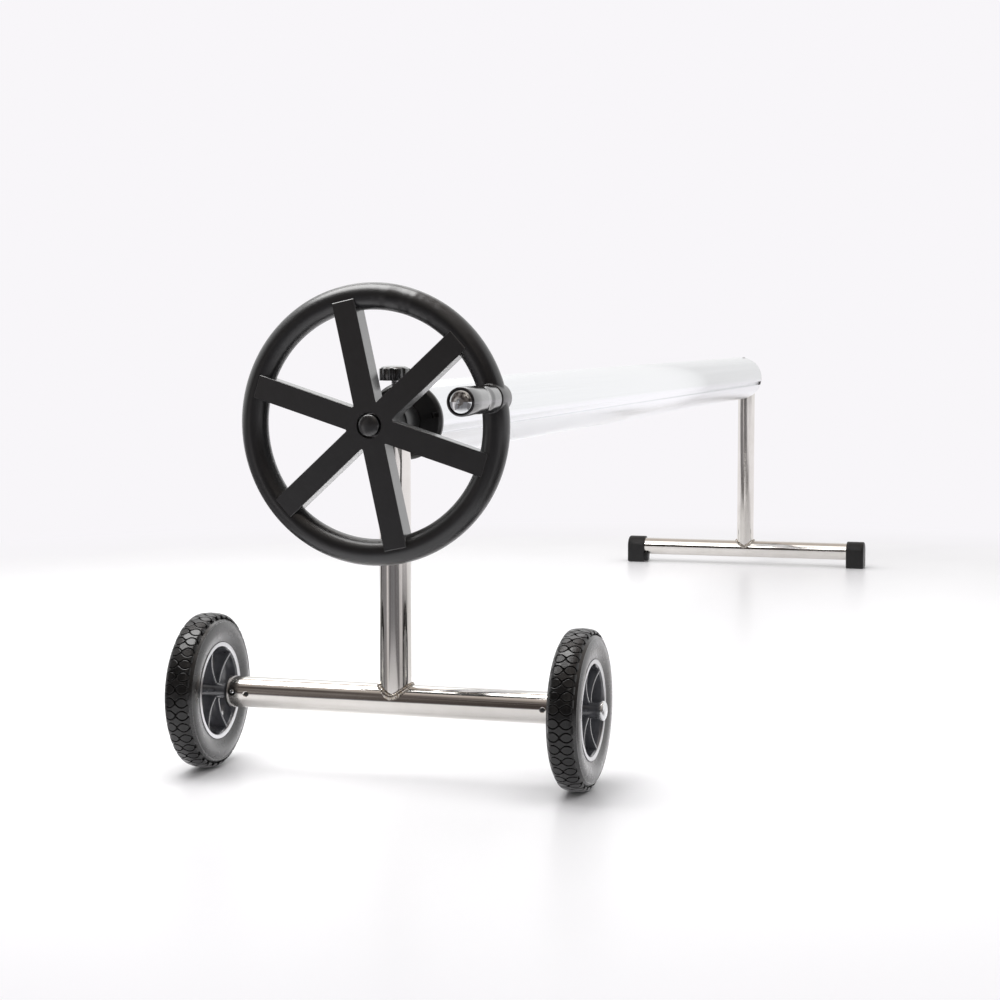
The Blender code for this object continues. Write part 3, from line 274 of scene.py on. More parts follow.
@dataclass(frozen=True)
class Metal(Finish):
    """A polished, drawn, anodised or plated metal. It mirrors the studio in its own tones."""

    tone_by: Pattern = Pattern(5.0)
    gloss_by: Pattern = Pattern(0.3)

    def inputs(self, tree: Tree) -> dict:
        """The same all over: it is metal."""
        return {**super().inputs(tree), "Metallic": 1.0}


@dataclass(frozen=True)
class Moulding(Finish):
    """A moulded plastic. Its fine grain dulls it, and a polished mould leaves a glossy coat."""

    tone_by: Pattern = Pattern(18.0)
    gloss_by: Pattern = Pattern(0.5)
    relief_by: Pattern | None = Pattern(0.5)
    depth: float = 0.012
    ior: float = 1.6
    coat: float = 0.0
    coat_rough: float = 0.14
    coat_ior: float = 1.65

    def inputs(self, tree: Tree) -> dict:
        """The plastic and its coat bend light the same all over."""
        values = {"IOR": self.ior, "Coat Weight": self.coat}
        values |= {"Coat Roughness": self.coat_rough, "Coat IOR": self.coat_ior}
        return {**super().inputs(tree), **values}


@dataclass(frozen=True)
class TyreRubber(Moulding):
    """A moulded solid rubber. It is satin black, and holds grey dust in patches 12 mm wide."""

    tone_by: Pattern = Pattern(0.8)
    gloss_by: Pattern = Pattern(12.0, 5.0)
    relief_by: Pattern | None = Pattern(0.8)
    depth: float = 0.03
    ior: float = 1.45
    coat_rough: float = 0.24
    coat_ior: float = 1.6
    dust: float = 0.1

    def inputs(self, tree: Tree) -> dict:
        """Lays the dust on the rubber's own tone.

        Args:
            tree: The material's node tree.

        Returns:
            Values and nodes by the name of the shader's input.
        """
        made = super().inputs(tree)
        amount = self.spread(tree, 0.0, self.dust)
        layers = {0: amount, 6: made["Base Color"], 7: "#4c4946"}
        made["Base Color"] = add_node(tree, "Mix", layers, data_type="RGBA")
        return made


@dataclass(frozen=True)
class FoamSkin(Moulding):
    """The hand wheel rim's moulded skin. It is satin black, with wrinkles at its upper right."""

    tone_by: Pattern = Pattern(30.0)
    gloss_by: Pattern = Pattern(0.6)
    relief_by: Pattern | None = Pattern(0.6)
    ior: float = 1.45
    coat_rough: float = 0.27
    coat_ior: float = 1.6
    wrinkle_depth: float = 2.4
    wrinkle_scale: float = 8.0  # by the angle round the rim, which puts them about 20 mm apart

    def inputs(self, tree: Tree) -> dict:
        """Adds the wrinkles under the grain. They follow the angle round the rim, in radians.

        Args:
            tree: The material's node tree.

        Returns:
            Values and nodes by the name of the shader's input.
        """
        made = super().inputs(tree)
        spot = add_node(tree, "TexCoord").outputs["Object"]
        apart = add_node(tree, "SeparateXYZ", {"Vector": spot}).outputs
        rise = add_node(tree, "Math", {0: apart["Z"], 1: AXIS_HEIGHT}, operation="SUBTRACT")
        turn = add_node(tree, "Math", {0: rise, 1: apart["Y"]}, operation="ARCTAN2")
        noise = {"W": turn, "Scale": self.wrinkle_scale, "Detail": 1.0}
        height = add_node(tree, "TexNoise", noise, noise_dimensions="1D")
        for start, end, before, after in ((1.50, 1.75, 0.0, 1.0), (2.0, 2.25, 1.0, 0.10)):
            span = {"From Min": start, "From Max": end, "To Min": before, "To Max": after}
            edge = {"Value": turn, **span}
            share = add_node(tree, "MapRange", edge, interpolation_type="SMOOTHSTEP")
            height = add_node(tree, "Math", {0: height, 1: share}, operation="MULTIPLY")
        crease = {"Height": height, "Distance": self.wrinkle_depth * MM, "Strength": 0.8}
        soft = add_node(tree, "Bump", crease)
        tree.links.new(soft.outputs["Normal"], made["Normal"].inputs["Normal"])
        return {**made, "Coat Normal": soft}


# Stainless tube, mirror polished along its length: sharp bands of studio light in a warm grey,
# under very fine lines. The lines are 0.5 mm apart, and real polish is finer.
ALONG_POST = Pattern(0.5, 2.0, (1, 1, 0.004))
ALONG_BAR = Pattern(0.5, 2.0, (1, 0.004, 1))
POLISH = (("#d6d3ce", "#dedbd7"), (0.06, 0.13), Pattern(40.0))
POLISHED_UPRIGHT = Metal("polished_stainless_upright", *POLISH, ALONG_POST, ALONG_POST, 0.003)
POLISHED_CROSSWAYS = Metal("polished_stainless_crossways", *POLISH, ALONG_BAR, ALONG_BAR, 0.003)

# A brushed TIG weld: straw and grey heat colours that change every few millimetres.
HEAT = Pattern(4.0)
WELD = Metal("brushed_tig_weld", ("#6f6a66", "#cfcac3", "#a2937f"), (0.10, 0.20), HEAT, HEAT)

# Bright drawn shaft steel: a soft mirror with fine rings. They are 0.4 mm apart so that they show.
RINGS = Pattern(0.4, 2.0, (1, 0.04, 0.04))
SHAFT = Metal("drawn_shaft_steel", ("#b9b8b6", "#cfcecb"), (0.18, 0.30), RINGS, RINGS)

# Extruded, etched and clear anodised: very pale, with faint die lines 2 mm apart all its length.
DIE_LINES = Pattern(2.0, 4.0, (0.002, 1, 1))
ETCH = Pattern(0.6, 2.0, (0.2, 1, 1))
PALE = (("#f0f1f3", "#f4f5f7"), (0.20, 0.25))
ALUMINIUM = Metal("anodised_extruded_aluminium", *PALE, DIE_LINES, DIE_LINES, ETCH, 0.006, 0.35)

# Glass-filled nylon: charcoal. The mould's 0.5 mm grain is a little coarse. The first is matt, the
# second has a soft sheen and the third a glossy skin.
NYLON = Moulding("moulded_glass_filled_nylon", ("#0a0a0b", "#101011"), (0.28, 0.38))
WHEEL_NYLON = Moulding("moulded_hand_wheel_nylon", ("#0b0b0d", "#111113"), (0.30, 0.40), coat=0.7)
GLOSS_NYLON = Moulding("polished_moulded_nylon", ("#0e0e10", "#151517"), (0.14, 0.22), coat=1.0)

# The rim's skin, pressed hot against the mould: deep black with a broad soft sheen.
SKIN = FoamSkin("moulded_polyurethane_skin", ("#070709", "#0c0c0f"), (0.34, 0.44), coat=0.6)

# Rubber: a sheen on the tyre's sides, darker blocks, dull dusty grooves whose darker tone is
# painted shade, and matt feet.
SIDEWALL = TyreRubber(
    "moulded_tyre_sidewall", ("#0a0a0b", "#101011"), (0.24, 0.34), coat=0.7, dust=0.12
)
TREAD = TyreRubber(
    "moulded_tyre_tread", ("#09090a", "#0f0f10"), (0.18, 0.28), coat=0.12, dust=0.08
)
# The grooves' darker tone is painted shade; the dust in them is real.
DUSTY_SHADED_GROOVE = TyreRubber("dusty_painted_shade_groove", ("#060606", "#0b0b0b"), (0.70, 0.85), dust=0.2)
FOOT_RUBBER = TyreRubber("moulded_foot_rubber", ("#0b0b0c", "#111113"), (0.40, 0.52), dust=0.08)

# The wheels' polypropylene is a glossy grey, and the turned acetal a dull white. Both show faint
# flow marks about 10 mm wide.
FLOW = Pattern(10.0)
SOFT_PLASTIC = {"tone_by": FLOW, "depth": 0.008, "strength": 0.4, "ior": 1.49, "coat_rough": 0.12}
GREY_TONES = ("#4a4b4f", "#57585d")
WHEEL_GREY = Moulding(
    "moulded_grey_polypropylene", GREY_TONES, (0.14, 0.22), coat=0.8, coat_ior=1.6, **SOFT_PLASTIC
)
ACETAL = Moulding("turned_white_acetal", ("#dcdbd5", "#e6e5df"), (0.28, 0.40), **SOFT_PLASTIC)

# Foil, plating and brass: soft silver on the wheels' rings, dull and bright zinc on small parts,
# and a sharp mirror on the chromed head.
WHEEL_RING = Metal("hot_stamped_silver_foil", ("#d0d0d2", "#dadadc"), (0.26, 0.34))
ZINC = Metal("zinc_plated_steel", ("#a9adb0", "#c6c9cb"), (0.24, 0.36))
BRIGHT_ZINC = Metal("bright_zinc_plate", ("#dfe1e3", "#ecedee"), (0.18, 0.28))
CHROME = Metal("bright_chrome_plate", ("#dcdfe1", "#eceeef"), (0.04, 0.09))
BRASS = Metal("turned_brass", ("#b08d4a", "#c9a55c"), (0.22, 0.34))


# Modelling


class Pick(Enum):
    """What a selection in edit mode holds."""

    POINTS = "VERT"
    EDGES = "EDGE"
    FACES = "FACE"


class Piece:
    """One mesh being shaped with Blender's own operators. Its object stays at the origin."""

    def __init__(self, shape: bpy.types.Object) -> None:
        """Wraps an object whose place is in its mesh."""
        self.shape = shape

    @classmethod
    def added(cls, name: str, place: Matrix | None = None) -> "Piece":
        """Takes over the primitive just added.

        Args:
            name: The piece's name.
            place: Moves the mesh from the origin.

        Returns:
            The piece.
        """
        piece = cls(bpy.context.active_object)
        piece.rename(name)
        bpy.ops.object.transform_apply(location=True, rotation=True, scale=True)
        if place:
            piece.mesh.transform(place)
        return piece

    @classmethod
    def rod(
        cls, name: str, axis: Axis, start: float, end: float, radius: float, sides: int = 48
    ) -> "Piece":
        """A plain round bar, from which others are shaped or cut.

        Args:
            name: The piece's name.
            axis: Its own axis.
            start: Where it starts along the axis.
            end: Where it ends.
            radius: Its radius.
            sides: How many faces go round.

        Returns:
            The piece.
        """
        middle = (0, 0, (start + end) / 2)
        bpy.ops.mesh.primitive_cylinder_add(
            vertices=sides, radius=radius, depth=end - start, location=middle
        )
        return cls.added(name, axis.matrix())

    @classmethod
    def block(cls, name: str, axis: Axis, low: Sequence[float], high: Sequence[float]) -> "Piece":
        """A box between two corners.

        Args:
            name: The piece's name.
            axis: The directions it lies along.
            low: One corner, as side, across and ahead of the axis.
            high: The opposite corner.

        Returns:
            The piece.
        """
        middle = [(a + b) / 2 for a, b in zip(low, high)]
        sides = [b - a for a, b in zip(low, high)]
        bpy.ops.mesh.primitive_cube_add(size=1.0, location=middle, scale=sides)
        return cls.added(name, axis.matrix())

    @classmethod
    def ring(
        cls, name: str, axis: Axis, major: float, minor: float, steps: tuple[int, int]
    ) -> "Piece":
        """A torus.

        Args:
            name: The piece's name.
            axis: The axis it lies round.
            major: The radius of the circle that its section's middle follows.
            minor: Its section's radius.
            steps: How many faces go round it, and how many round its section.

        Returns:
            The piece.
        """
        bpy.ops.mesh.primitive_torus_add(
            major_radius=major, minor_radius=minor, major_segments=steps[0], minor_segments=steps[1]
        )
        return cls.added(name, axis.matrix())

    @classmethod
    def drawn(cls, name: str, points: Sequence[Vector]) -> "Piece":
        """Draws a line, from one point extruded again and again.

        Args:
            name: The piece's name.
            points: The places it runs through.

        Returns:
            The piece.
        """
        bpy.ops.mesh.primitive_plane_add(size=MM, location=points[0])
        piece = cls.added(name)
        piece.edit(Pick.POINTS)
        bpy.ops.mesh.merge(type="CENTER")
        for here, following in zip(points, points[1:]):
            bpy.ops.mesh.extrude_region_move(TRANSFORM_OT_translate={"value": following - here})
        bpy.ops.object.mode_set(mode="OBJECT")
        return piece

    @classmethod
    def turned(cls, name: str, axis: Axis, profile: Points, steps: int = 64) -> "Piece":
        """Turns a closed profile round an axis.

        Args:
            name: The piece's name.
            axis: What it is turned round.
            profile: Points as (along, out). It is closed from the last back to the first, unless
                both lie on the axis.
            steps: How many faces go round.

        Returns:
            The piece.
        """
        line = list(profile)
        if line[0][1] > 0 or line[-1][1] > 0:
            line.append(line[0])
        piece = cls.drawn(name, [axis.at(along, out) for along, out in line])
        piece.edit(Pick.POINTS)
        bpy.ops.mesh.spin(steps=steps, angle=math.tau, center=axis.origin, axis=axis.ahead)
        piece.tidy()
        return piece

    @classmethod
    def plate(cls, name: str, axis: Axis, outline: Points, start: float, end: float) -> "Piece":
        """Extrudes a flat outline along an axis.

        Args:
            name: The piece's name.
            axis: The way it is extruded.
            outline: Points as (side, across).
            start: Where it starts along the axis.
            end: Where it ends.

        Returns:
            The piece.
        """
        points = [axis.at(start) + axis.side * x + axis.across * y for x, y in outline]
        piece = cls.drawn(name, [*points, points[0]])
        piece.edit(Pick.POINTS)
        bpy.ops.mesh.remove_doubles(threshold=0.001 * MM)
        bpy.ops.mesh.edge_face_add()
        depth = axis.ahead * (end - start)
        bpy.ops.mesh.extrude_region_move(TRANSFORM_OT_translate={"value": depth})
        piece.tidy()
        return piece

    @property
    def mesh(self) -> bpy.types.Mesh:
        """The piece's mesh."""
        return self.shape.data

    def rename(self, name: str) -> None:
        """Names the object and its mesh."""
        self.shape.name = name
        self.mesh.name = name

    def only(self) -> None:
        """Selects this piece alone, in object mode."""
        bpy.ops.object.select_all(action="DESELECT")
        self.shape.select_set(True)
        bpy.context.view_layer.objects.active = self.shape

    def edit(self, pick: Pick, test: Test | None = None) -> None:
        """Enters edit mode with faces, edges or points selected.

        Args:
            pick: What is selected.
            test: Called with the middle of each, and its normal or an edge's direction. Without
                one, as always for points, all are selected.
        """
        self.only()
        bpy.ops.object.mode_set(mode="EDIT")
        bpy.ops.mesh.select_mode(type=pick.value)
        bpy.ops.mesh.select_all(action="SELECT" if test is None else "DESELECT")
        if test is None:
            return
        bpy.ops.object.mode_set(mode="OBJECT")
        if pick is Pick.FACES:
            for face in self.mesh.polygons:
                face.select = test(face.center, face.normal)
        else:
            points = self.mesh.vertices
            for edge in self.mesh.edges:
                one, two = (points[index].co for index in edge.vertices)
                edge.select = test((one + two) / 2, (two - one).normalized())
        bpy.ops.object.mode_set(mode="EDIT")

    def tidy(self) -> None:
        """Merges doubles, turns all faces outwards and goes back to object mode."""
        bpy.ops.object.mode_set(mode="EDIT")
        bpy.ops.mesh.select_all(action="SELECT")
        bpy.ops.mesh.remove_doubles(threshold=0.002 * MM)
        bpy.ops.mesh.normals_make_consistent(inside=False)
        bpy.ops.object.mode_set(mode="OBJECT")

    def bevel(self, width: float, segments: int, pick: Pick, test: Test) -> None:
        """Rounds the edges, or the borders of the faces, that pass a test.

        Args:
            width: How wide the rounding is.
            segments: How many faces it has.
            pick: Edges or faces.
            test: As for edit.
        """
        self.edit(pick, test)
        bpy.ops.mesh.bevel(offset=width, segments=segments, affect="EDGES")
        bpy.ops.object.mode_set(mode="OBJECT")

    def modify(self, kind: str, **settings) -> "Piece":
        """Adds a modifier with its settings and applies it.

        Args:
            kind: The modifier's type.
            settings: Its own properties.

        Returns:
            The piece itself.
        """
        self.only()
        added = self.shape.modifiers.new(kind.lower(), kind)
        for name, value in settings.items():
            setattr(added, name, value)
        bpy.ops.object.modifier_apply(modifier=added.name)
        return self

    def soften(self, width: float, segments: int = 2, degrees: float = 35.0) -> "Piece":
        """Rounds every edge sharper than the given angle."""
        limit = {"limit_method": "ANGLE", "angle_limit": math.radians(degrees)}
        return self.modify("BEVEL", width=width, segments=segments, use_clamp_overlap=True, **limit)

    def cut(self, *cutters: "Piece") -> "Piece":
        """Cuts other pieces out of this one and removes them."""
        return self.combine("DIFFERENCE", *cutters)

    def bore(self, axis: Axis, start: float, end: float, radius: float, sides: int = 24) -> "Piece":
        """Cuts a round hole along an axis."""
        return self.cut(Piece.rod("bore", axis, start, end, radius, sides))

    def unite(self, *others: "Piece") -> "Piece":
        """Joins other pieces to this one as one solid."""
        return self.combine("UNION", *others)

    def combine(self, operation: str, *others: "Piece") -> "Piece":
        """Runs an exact Boolean with each of the other pieces, which are used up.

        Args:
            operation: The Boolean's kind.
            others: The other pieces, in order.

        Returns:
            The piece itself.
        """
        for other in others:
            self.modify("BOOLEAN", operation=operation, solver="EXACT", object=other.shape)
            bpy.data.objects.remove(other.shape)
        return self

    def gather(self, others: Sequence["Piece"]) -> "Piece":
        """Joins other pieces into this object without a Boolean.

        Args:
            others: The other pieces.

        Returns:
            The piece itself.
        """
        self.only()
        for other in others:
            other.shape.select_set(True)
        bpy.ops.object.join()
        return self

    def copy(self, name: str, move: Matrix) -> "Piece":
        """A copy with its own mesh.

        Args:
            name: The copy's name.
            move: The matrix that moves it.

        Returns:
            The copy.
        """
        shape = self.shape.copy()
        shape.data = self.mesh.copy()
        made = Piece(shape)
        made.rename(name)
        bpy.context.scene.collection.objects.link(shape)
        made.mesh.transform(move)
        return made

    def repeat(self, axis: Axis, count: int, first: float = 0.0) -> "Piece":
        """Gathers turned copies round an axis into this piece.

        Args:
            axis: What they are turned round.
            count: How many there are in all.
            first: The angle of this piece, in degrees.

        Returns:
            The piece itself.
        """
        copies = [
            self.copy(f"{self.shape.name}_{number}", axis.turned(first + 360 / count * number))
            for number in range(1, count)
        ]
        self.mesh.transform(axis.turned(first))
        return self.gather(copies)

    def smooth(self, degrees: float = 32.0) -> "Piece":
        """Shades smooth, with edges sharper than the given angle kept."""
        self.only()
        bpy.ops.object.shade_smooth_by_angle(angle=math.radians(degrees))
        return self

    def paint(self, finish: Finish, test: Test) -> "Piece":
        """Gives some of the faces another finish.

        Args:
            finish: Their finish.
            test: Called with a face's middle and normal.

        Returns:
            The piece itself.
        """
        self.mesh.materials.append(finish.material())
        index = len(self.mesh.materials) - 1
        for face in self.mesh.polygons:
            if test(face.center, face.normal):
                face.material_index = index
        return self

    def dress(self, finish: Finish, body: Body, slot: str, *nodes: str) -> "Piece":
        """Gives the piece its finish, its body and the CAD nodes that it stands for.

        Args:
            finish: The finish of all its faces.
            body: The body it rides on.
            slot: Not used.
            nodes: The CAD nodes it replaces.

        Returns:
            The piece itself.
        """
        self.mesh.materials.clear()
        self.mesh.materials.append(finish.material())
        self.smooth()
        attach(self.shape, body.value)
        if nodes:
            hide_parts(*nodes)
        LOG.info("%s rides on %s", self.shape.name, body.value)
        return self


def keep(finish: Finish, *nodes: str) -> None:
    """Gives CAD nodes that stay shown their finish.

    Args:
        finish: Their finish.
        nodes: Their names.
    """
    for name in nodes:
        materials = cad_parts[name].data.materials
        materials.clear()
        materials.append(finish.material())
        LOG.info("%s keeps its CAD shape", name)


def dome(
    base: float, rise: float, radius: float, angles: Sequence[float], power: float = 1.0
) -> list[tuple[float, float]]:
    """Gives a dome's section.

    Args:
        base: Where it starts along its axis.
        rise: How high it is.
        radius: Its radius at the base.
        angles: How far up each point is, in radians.
        power: Under 1, the dome is fuller than an ellipse.

    Returns:
        Points as (along, out).
    """
    return [(base + rise * math.sin(a), radius * math.cos(a) ** power) for a in angles]


# Screws


@dataclass
class PanScrew:
    """A small pan head screw with a cross recess."""

    shank: float = 0.0042
    length: float = 0.0120
    head: float = 0.0090
    height: float = 0.0026
    recess: float = 0.0046

    def build(self, name: str, axis: Axis) -> Piece:
        """Makes the screw, with its head's seat at the axis's origin and its head ahead.

        Args:
            name: The piece's name.
            axis: Its axis.

        Returns:
            The screw, not yet dressed.
        """
        half, core, height = self.head / 2, self.shank / 2, self.height
        profile = [(-self.length, 0), (-self.length, 0.6 * core), (0.8 * core - self.length, core)]
        profile += [(0, core), (0, half), (height * 0.35, half)]
        profile += [(height * 0.70, half * 0.86), (height * 0.92, half * 0.55), (height, 0)]
        screw = Piece.turned(name, axis, profile, 28)
        slot = self.recess / 2
        width = self.recess * 0.13
        for side, across in ((slot, width), (width, slot)):
            high = (side, across, height * 2)
            screw.cut(Piece.block("recess", axis, (-side, -across, height * 0.35), high))
        return screw


# Stands


@dataclass
class TubeStand:
    """A welded T of stainless tube with a bearing housing on its post."""

    name: str
    x: float
    bar_height: float
    bar_length: float
    body: Body
    post_top: float = 0.422
    barrel_radius: float = 0.025
    barrel_half: float = 0.024
    barrel_round: float = 0.0016
    bore_radius: float = 0.016
    neck_depth: float = 0.0397
    neck_end: float = 0.0205  # from the reel's axis
    screw_height: float = 0.402
    screw_hole: float = 0.0024
    saddle: float = 0.0068
    bead: float = 0.0040
    bead_out: float = 0.0006
    ripples: int = 52

    @property
    def post_axis(self) -> Axis:
        """The post's own axis, from the floor up."""
        return Axis(Vector((self.x, 0, 0)), UP, -LEFT)

    @property
    def bar_axis(self) -> Axis:
        """The cross tube's axis, from its middle to the photo's left."""
        return Axis(Vector((self.x, 0, self.bar_height)), LEFT, -FORWARD)

    @property
    def barrel_axis(self) -> Axis:
        """The reel axis, with its origin in the middle of the housing."""
        return REEL_AXIS.moved(-self.x)

    @property
    def screw_axis(self) -> Axis:
        """The axis of the screw that holds the housing in the post."""
        return Axis(Vector((self.x, 0, self.screw_height)), FORWARD, LEFT)

    def build(self) -> None:
        """Makes and dresses the stand's own pieces."""
        self.build_post()
        self.build_bar()
        self.build_weld()
        self.build_housing()
        keep(ACETAL, f"{self.name}_bush")
        seat = self.screw_axis.moved(TUBE_RADIUS + PLAY)
        screw = PanScrew().build(f"{self.name}_post_screw_cross", seat)
        screw.dress(ZINC, self.body, "zinc_plated_steel", f"{self.name}_post_screw")

    def build_post(self) -> None:
        """The post, coped over the cross tube and open at its top."""
        name = f"{self.name}_post_tube"
        post = Piece.rod(name, self.post_axis, self.bar_height, self.post_top, TUBE_RADIUS, 96)
        cope = math.hypot(TUBE_RADIUS, self.saddle + 0.0012)
        post.bore(self.bar_axis, -0.05, 0.05, cope, 96)
        post.bore(self.post_axis, 0, 1, TUBE_BORE, 96)
        post.bore(self.screw_axis, 0, 0.05, self.screw_hole)
        post.dress(POLISHED_UPRIGHT, self.body, "polished_stainless", f"{self.name}_post")

    def build_bar(self) -> None:
        """The cross tube with its open ends."""
        half = self.bar_length / 2
        bar = Piece.rod(f"{self.name}_cross_bar", self.bar_axis, -half, half, TUBE_RADIUS, 96)
        bar.bore(self.bar_axis, -1, 1, TUBE_BORE, 96)
        self.drill_bar(bar, half)
        bar.dress(POLISHED_CROSSWAYS, self.body, "polished_stainless", f"{self.name}_cross_tube")

    def drill_bar(self, bar: Piece, half: float) -> None:
        """A plain bar has no holes."""

    def build_weld(self) -> None:
        """The weld bead, a rippled ring that follows the saddle between post and bar."""
        axis = self.post_axis.moved(self.bar_height)
        major = TUBE_RADIUS + self.bead_out
        steps = (self.ripples * 6, 12)
        weld = Piece.ring(f"{self.name}_weld_bead", axis, major, self.bead, steps)
        for point in weld.mesh.vertices:
            out = point.co - axis.origin
            across = Vector((out.x, out.y, 0))
            angle = math.atan2(out.y, out.x)
            # three waves of different length, so that no two ripples are alike
            swell = 1.0 + 0.15 * math.sin(self.ripples * angle) + 0.10 * math.sin(9 * angle + 1)
            swell += 0.08 * math.sin(23 * angle)
            middle = across.normalized() * major
            local = (across - middle + Vector((0, 0, out.z))) * swell
            aside = (middle.y / TUBE_RADIUS) ** 2
            climb = math.hypot(middle.y, self.saddle) * (1 - 0.07 * aside)
            point.co = axis.origin + middle + local * (1 - 0.38 * aside) + Vector((0, 0, climb))
        weld.dress(WELD, self.body, "polished_stainless")

    def build_housing(self) -> None:
        """The moulded barrel on its neck, with rounded rims."""
        half = self.barrel_half
        wall = [(-half, self.bore_radius), (-half, self.barrel_radius)]
        wall += [(half, self.barrel_radius), (half, self.bore_radius)]
        housing = Piece.turned(f"{self.name}_bearing_moulding", self.barrel_axis, wall, 72)
        housing.soften(self.barrel_round, 3)
        foot, seat, end = self.post_top - self.neck_depth, self.post_top + PLAY, TUBE_BORE - PLAY
        head = AXIS_HEIGHT - self.neck_end
        neck = [(foot, 0), (foot, end), (seat, end), (seat, TUBE_RADIUS), (head, TUBE_RADIUS)]
        housing.unite(Piece.turned("neck", self.post_axis, [*neck, (head, 0)], 72))
        self.shape_housing(housing)
        housing.bore(self.barrel_axis, -0.05, 0.05, self.bore_radius, 72)
        housing.dress(NYLON, self.body, "black_nylon", f"{self.name}_bearing_housing")

    def shape_housing(self, housing: Piece) -> None:
        """A plain housing has no more forms."""


@dataclass
class NearStand(TubeStand):
    """The wheeled stand, whose housing carries the brake."""

    drain_inset: float = 0.0265
    drain_radius: float = 0.0029
    drain_lift: float = 1.5
    sink: float = 0.0016
    screw_inset: float = 0.0068
    screw_hole_radius: float = 0.0054
    screw_lift: float = 9.0
    screw_seat: float = 0.0170
    boss_radius: float = 0.010
    boss_top: float = 0.483
    insert_radius: float = 0.0063
    insert_floor: float = 0.0177
    stud_radius: float = 0.0043

    def drill_bar(self, bar: Piece, half: float) -> None:
        """Drills the drain and screw holes near both ends, facing the hand wheel's side.

        Args:
            bar: The cross tube.
            half: Half its length.
        """
        wide = self.drain_radius + self.sink
        inside, outside = 0.016, TUBE_RADIUS + 0.004
        drain = [(inside, 0), (inside, self.drain_radius), (TUBE_RADIUS - 0.001, self.drain_radius)]
        drain += [(TUBE_RADIUS + 0.0002, wide), (outside, wide), (outside, 0)]
        for side in (-1, 1):
            way = self.bar_axis.outwards(side * (half - self.drain_inset), self.drain_lift)
            bar.cut(Piece.turned("drain", way, drain, 32))
            bar.bore(self.screw_way(side), TUBE_RADIUS / 2, 0.03, self.screw_hole_radius, 32)

    def screw_way(self, side: int) -> Axis:
        """The axis of the screw at one end of the cross tube."""
        place = self.bar_length / 2 - self.screw_inset
        return self.bar_axis.outwards(side * place, self.screw_lift)

    def shape_housing(self, housing: Piece) -> None:
        """Adds the brake's boss and bores it for the insert.

        Args:
            housing: The housing's barrel on its neck.
        """
        foot = AXIS_HEIGHT + self.neck_end
        boss = Piece.rod("boss", self.post_axis, foot, self.boss_top, self.boss_radius, 48)
        housing.unite(boss.soften(0.0008, 2))
        floor = AXIS_HEIGHT + self.insert_floor
        housing.bore(self.post_axis, floor, 0.5, self.insert_radius, 32)
        housing.bore(self.post_axis, AXIS_HEIGHT, 0.5, self.stud_radius, 32)

    def build(self) -> None:
        """Adds the screws in the cross tube's ends to the stand's own pieces."""
        super().build()
        keep(BRASS, "brake_insert")
        keep(NYLON, "axle_plug_left", "axle_plug_right")
        keep(ZINC, "wheel_washer_left", "wheel_washer_right")
        small = PanScrew(head=0.0056, height=0.0020, recess=0.0030)
        for word, side in (("left", 1), ("right", -1)):
            screw = small.build(f"axle_screw_{word}", self.screw_way(side).moved(self.screw_seat))
            screw.dress(CHROME, self.body, "zinc_plated_steel", f"axle_plug_screw_{word}")


@dataclass
class FarStand(TubeStand):
    """The stand on two rubber feet."""

    foot_half_width: float = 0.0238
    foot_length: float = 0.041
    foot_corner: float = 0.004
    foot_round: float = 0.0018
    end_wall: float = 0.005
    lug_half: float = 0.010
    lug_middle: float = 0.013
    lug_width: float = 0.022

    def build(self) -> None:
        """Adds the two feet to the stand's own pieces."""
        super().build()
        self.build_foot("left", Axis(self.bar_axis.origin, LEFT, FORWARD), 0.0055)
        self.build_foot("right", Axis(self.bar_axis.origin, -LEFT, -FORWARD), 0.0035)

    def build_foot(self, word: str, axis: Axis, end_round: float) -> None:
        """A rubber cap with a round top and a flat sole. Only the left one has a lug inboard.

        Args:
            word: Its side.
            axis: The cross tube's axis towards it.
            end_round: How much the edge of its outer end is rounded.
        """
        reach, down, corner = self.foot_half_width, self.bar_height, self.foot_corner
        rising = 1 if axis.across.z > 0 else -1
        half_turn = [math.pi * step / 32 for step in range(33)]
        outline = [(reach * math.cos(a), rising * reach * math.sin(a)) for a in half_turn]
        left = [
            (corner - reach - corner * math.cos(a), rising * (corner - down - corner * math.sin(a)))
            for a in (math.pi * step / 12 for step in range(7))
        ]
        outline += left + [(-x, y) for x, y in reversed(left)]
        tube_end = self.bar_length / 2 + PLAY
        end = tube_end + self.end_wall
        start = end - self.foot_length
        foot = Piece.plate(f"foot_moulding_{word}", axis, outline, start, end)
        face = abs(axis.at(end).y) - 0.1 * MM
        foot.bevel(end_round, 4, Pick.EDGES, lambda middle, _way: abs(middle.y) > face)
        foot.soften(self.foot_round, 2, 60)
        if word == "left":
            edge = corner - reach
            low, high = sorted(
                rising * (self.lug_middle + way * self.lug_half - down) for way in (-1, 1)
            )
            near, far = (edge, low, start - 0.009), (edge + self.lug_width, high, start + 0.01)
            foot.unite(Piece.block("lug", axis, near, far).soften(0.002, 3))
        foot.bore(axis, end - 0.06, tube_end, TUBE_RADIUS + PLAY, 72)
        foot.dress(FOOT_RUBBER, self.body, "black_rubber", f"foot_cap_{word}")


# Brake


